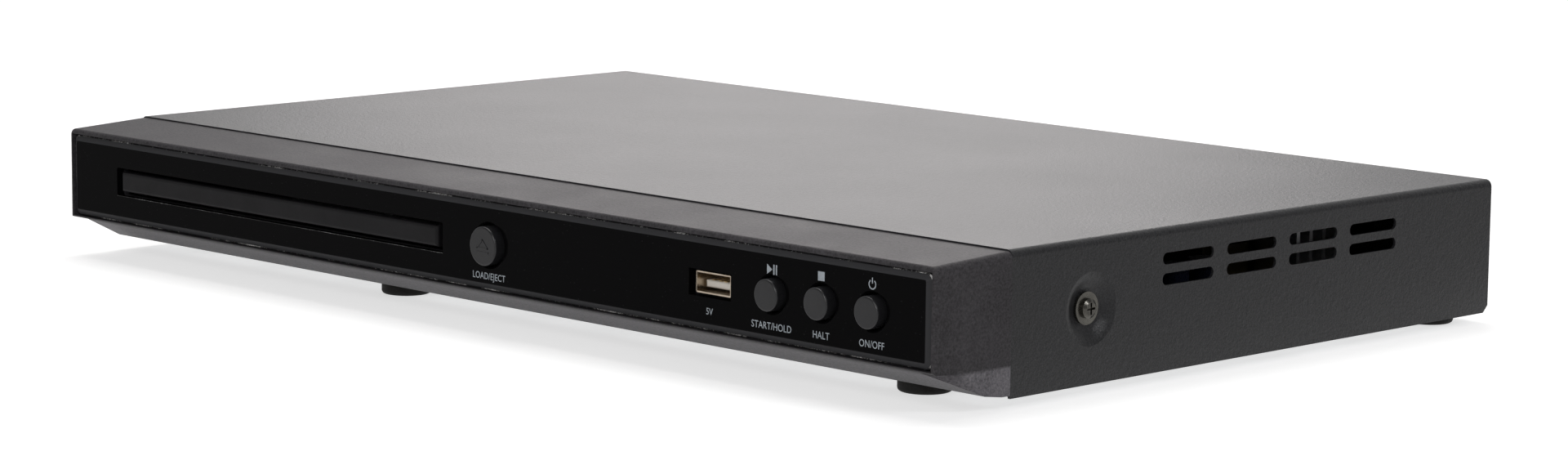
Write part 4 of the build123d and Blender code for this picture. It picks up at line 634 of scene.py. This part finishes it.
# the window's outline drawn in by inset, with round corners, anticlockwise from the front
def roundedLoop(inset, radius, steps=8):
    left, right = windowLow.x + inset + radius, windowHigh.x - inset - radius
    low, high = windowLow.z + inset + radius, windowHigh.z - inset - radius
    quarters = []
    for k, (x, z) in enumerate(((right, high), (left, high), (left, low), (right, low))):
        turn = np.linspace(0, math.pi / 2, steps) + k * math.pi / 2
        quarters.append(np.column_stack([x + radius * np.cos(turn), z + radius * np.sin(turn)]))
    return np.vstack(quarters)


# closed thin band: both outlines in front, the same two behind
def ribbonLoop(outer, inner, outerY, innerY, thick):
    count = len(outer)
    rings = ((outer, outerY), (inner, innerY), (inner, innerY + thick), (outer, outerY + thick))
    points = np.vstack([np.column_stack([ring[:, 0], np.full(count, y), ring[:, 1]]) for ring, y in rings])
    index = np.arange(count)
    after = (index + 1) % count
    starts = [ring * count for ring in range(len(rings))]
    faces = np.vstack([
        np.column_stack([index + a, after + a, after + b, index + b])
        for a, b in zip(starts, starts[1:] + starts[:1])
    ])
    return points, faces


def addWindowRimGlint():  # the sawn outer edge of the window's bevel, painted with sparks of highlight
    p, cut = windowRimGlint, windowBevel
    outer = roundedLoop(0, p["corner"])
    inner = roundedLoop(p["width"], p["corner"] - p["width"])
    outerY = faceY + cut["fall"] - p["lift"]
    innerY = faceY + cut["fall"] * (1 - p["width"] / cut["wide"]) - p["lift"]
    band = ribbonLoop(outer, inner, outerY, innerY, 2 * p["lift"])
    addPiece("windowRimGlint", *band, "windowEdge", "case", "window_acrylic")


addSigns()
addWords()
addSlotGlintLine()
addEjectMark()
addWindowRimGlint()
print("pieces added")


studio = {
    "floorSize": 7.0, "floorColour": (0.62, 0.62, 0.62), "floorLift": 0.62,
    "mirroredAround": 0.14, "mirroredUnder": 0.58,
    "underFrom": -0.150, "underTo": -0.112, "underSide": (0.190, 0.215),
    "skyDiffuse": 0.19, "skySeen": 1.0,
    "skyGlossyDark": 0.0, "skyGlossyBright": 0.45, "skyTurn": (0.15, 0.75),
}


def mirroredRays(tree, rays):  # 1 for rays that polished or clear things send on
    return combine(tree, "MAXIMUM", rays.outputs["Is Glossy Ray"], rays.outputs["Is Transmission Ray"])


def addFloor():  # pale paper, white to the camera; mirrored it is dim, and brighter only under the object
    p = studio
    s = p["floorSize"]
    mesh = bpy.data.meshes.new("studioFloor")
    mesh.from_pydata([(-s, -s, 0), (s, -s, 0), (s, s, 0), (-s, s, 0)], [], [(0, 1, 2, 3)])
    floor = bpy.data.objects.new("studioFloor", mesh)
    bpy.context.scene.collection.objects.link(floor)
    material, tree, shader, at = startFinish("floorPaper")
    pale = p["floorColour"]
    giveColour(tree, shader, blendColour(tree, noise(tree, at, 3.0), pale, tuple(0.985 * c for c in pale)))
    shader.inputs["Roughness"].default_value = 0.8
    shader.inputs["Specular IOR Level"].default_value = 0.1
    shader.inputs["Emission Color"].default_value = (1, 1, 1, 1)
    rays = tree.nodes.new("ShaderNodeLightPath")
    seen = combine(tree, "MULTIPLY", rays.outputs["Is Camera Ray"], p["floorLift"])
    behind = spread(tree, axisOf(tree, at, "Y"), p["underFrom"], p["underTo"])
    sideways = combine(tree, "ABSOLUTE", axisOf(tree, at, "X"), 0)
    within = spread(tree, sideways, *p["underSide"], 1.0, 0.0)
    under = spread(tree, combine(tree, "MULTIPLY", behind, within), 0, 1, p["mirroredAround"], p["mirroredUnder"])
    mirrored = combine(tree, "MULTIPLY", mirroredRays(tree, rays), under)
    tree.links.new(combine(tree, "MAXIMUM", seen, mirrored), shader.inputs["Emission Strength"])
    mesh.materials.append(material)


def addSky():  # even for matt things; mirrored it is bright at the back left and dim elsewhere
    p = studio
    world = bpy.data.worlds.new("studioSky")
    bpy.context.scene.world = world
    world.use_nodes = True
    tree = world.node_tree
    tree.nodes.clear()
    output = tree.nodes.new("ShaderNodeOutputWorld")
    background = tree.nodes.new("ShaderNodeBackground")
    background.inputs["Color"].default_value = (1, 1, 1, 1)
    rays = tree.nodes.new("ShaderNodeLightPath")
    direction = tree.nodes.new("ShaderNodeTexCoord").outputs["Generated"]
    backLeft = combine(tree, "SUBTRACT", axisOf(tree, direction, "Y"), axisOf(tree, direction, "X"))
    glossy = spread(tree, backLeft, *p["skyTurn"], p["skyGlossyDark"], p["skyGlossyBright"])
    strength = combine(tree, "ADD", combine(tree, "MULTIPLY", mirroredRays(tree, rays), glossy), p["skyDiffuse"])
    seen = combine(tree, "MULTIPLY", rays.outputs["Is Camera Ray"], p["skySeen"])
    tree.links.new(combine(tree, "MAXIMUM", strength, seen), background.inputs["Strength"])
    tree.links.new(background.outputs["Background"], output.inputs["Surface"])


lamps = (
    {"name": "overheadSoftbox", "at": (-0.3, 0.2, 1.7), "size": (1.4, 1.0), "power": 17.5, "tint": (1.0, 0.98, 0.97)},
    {"name": "rightSoftbox", "at": (1.44, 0.09, 0.82), "size": (0.30, 0.30), "power": 4.4, "tint": (0.97, 0.98, 1.0)},
    {"name": "backSoftbox", "at": (-1.69, 1.71, 0.95), "size": (0.9, 1.1), "power": 6.4, "tint": (1.0, 0.955, 0.95)},
    {"name": "frontSoftbox", "at": (0.7, -1.5, 0.75), "size": (0.6, 0.5), "power": 9.0, "tint": (1.0, 1.0, 1.0)},
)


def addLamps():  # each softbox faces the middle of the floor
    for p in lamps:
        light = bpy.data.lights.new(p["name"], "AREA")
        light.shape = "RECTANGLE"
        light.size, light.size_y = p["size"]
        light.energy = p["power"]
        light.color = p["tint"]
        lamp = bpy.data.objects.new(p["name"], light)
        lamp.location = p["at"]
        lamp.rotation_euler = (-Vector(p["at"])).to_track_quat("-Z", "Y").to_euler()
        lamp.visible_camera = False
        bpy.context.scene.collection.objects.link(lamp)


view = {
    "at": (0.8864, -0.87385, 0.20066), "azimuth": 45.098, "elevation": 8.495, "roll": 0.632,
    "focalPixels": 5260.0, "imageWidth": 1920.0, "sensor": 36.0, "near": 0.01, "far": 50.0,
}


def addCamera():  # columns of the camera's matrix: right, up and back, then turned by the roll
    p = view
    az, el, roll = (math.radians(p[k]) for k in ("azimuth", "elevation", "roll"))
    back = Vector((math.sin(az) * math.cos(el), -math.cos(az) * math.cos(el), math.sin(el)))
    right = Vector((math.cos(az), math.sin(az), 0))
    up = back.cross(right)
    across = right * math.cos(roll) + up * math.sin(roll)
    upward = up * math.cos(roll) - right * math.sin(roll)
    data = bpy.data.cameras.new("photoCamera")
    data.sensor_width = p["sensor"]
    data.lens = p["sensor"] * p["focalPixels"] / p["imageWidth"]
    data.clip_start, data.clip_end = p["near"], p["far"]
    camera = bpy.data.objects.new("photoCamera", data)
    turn = Matrix((across, upward, back)).transposed()
    camera.matrix_world = Matrix.Translation(p["at"]) @ turn.to_4x4()
    bpy.context.scene.collection.objects.link(camera)
    bpy.context.scene.camera = camera


addFloor()
addSky()
addLamps()
addCamera()
bpy.context.scene.view_settings.view_transform = "Standard"
print("studio ready")
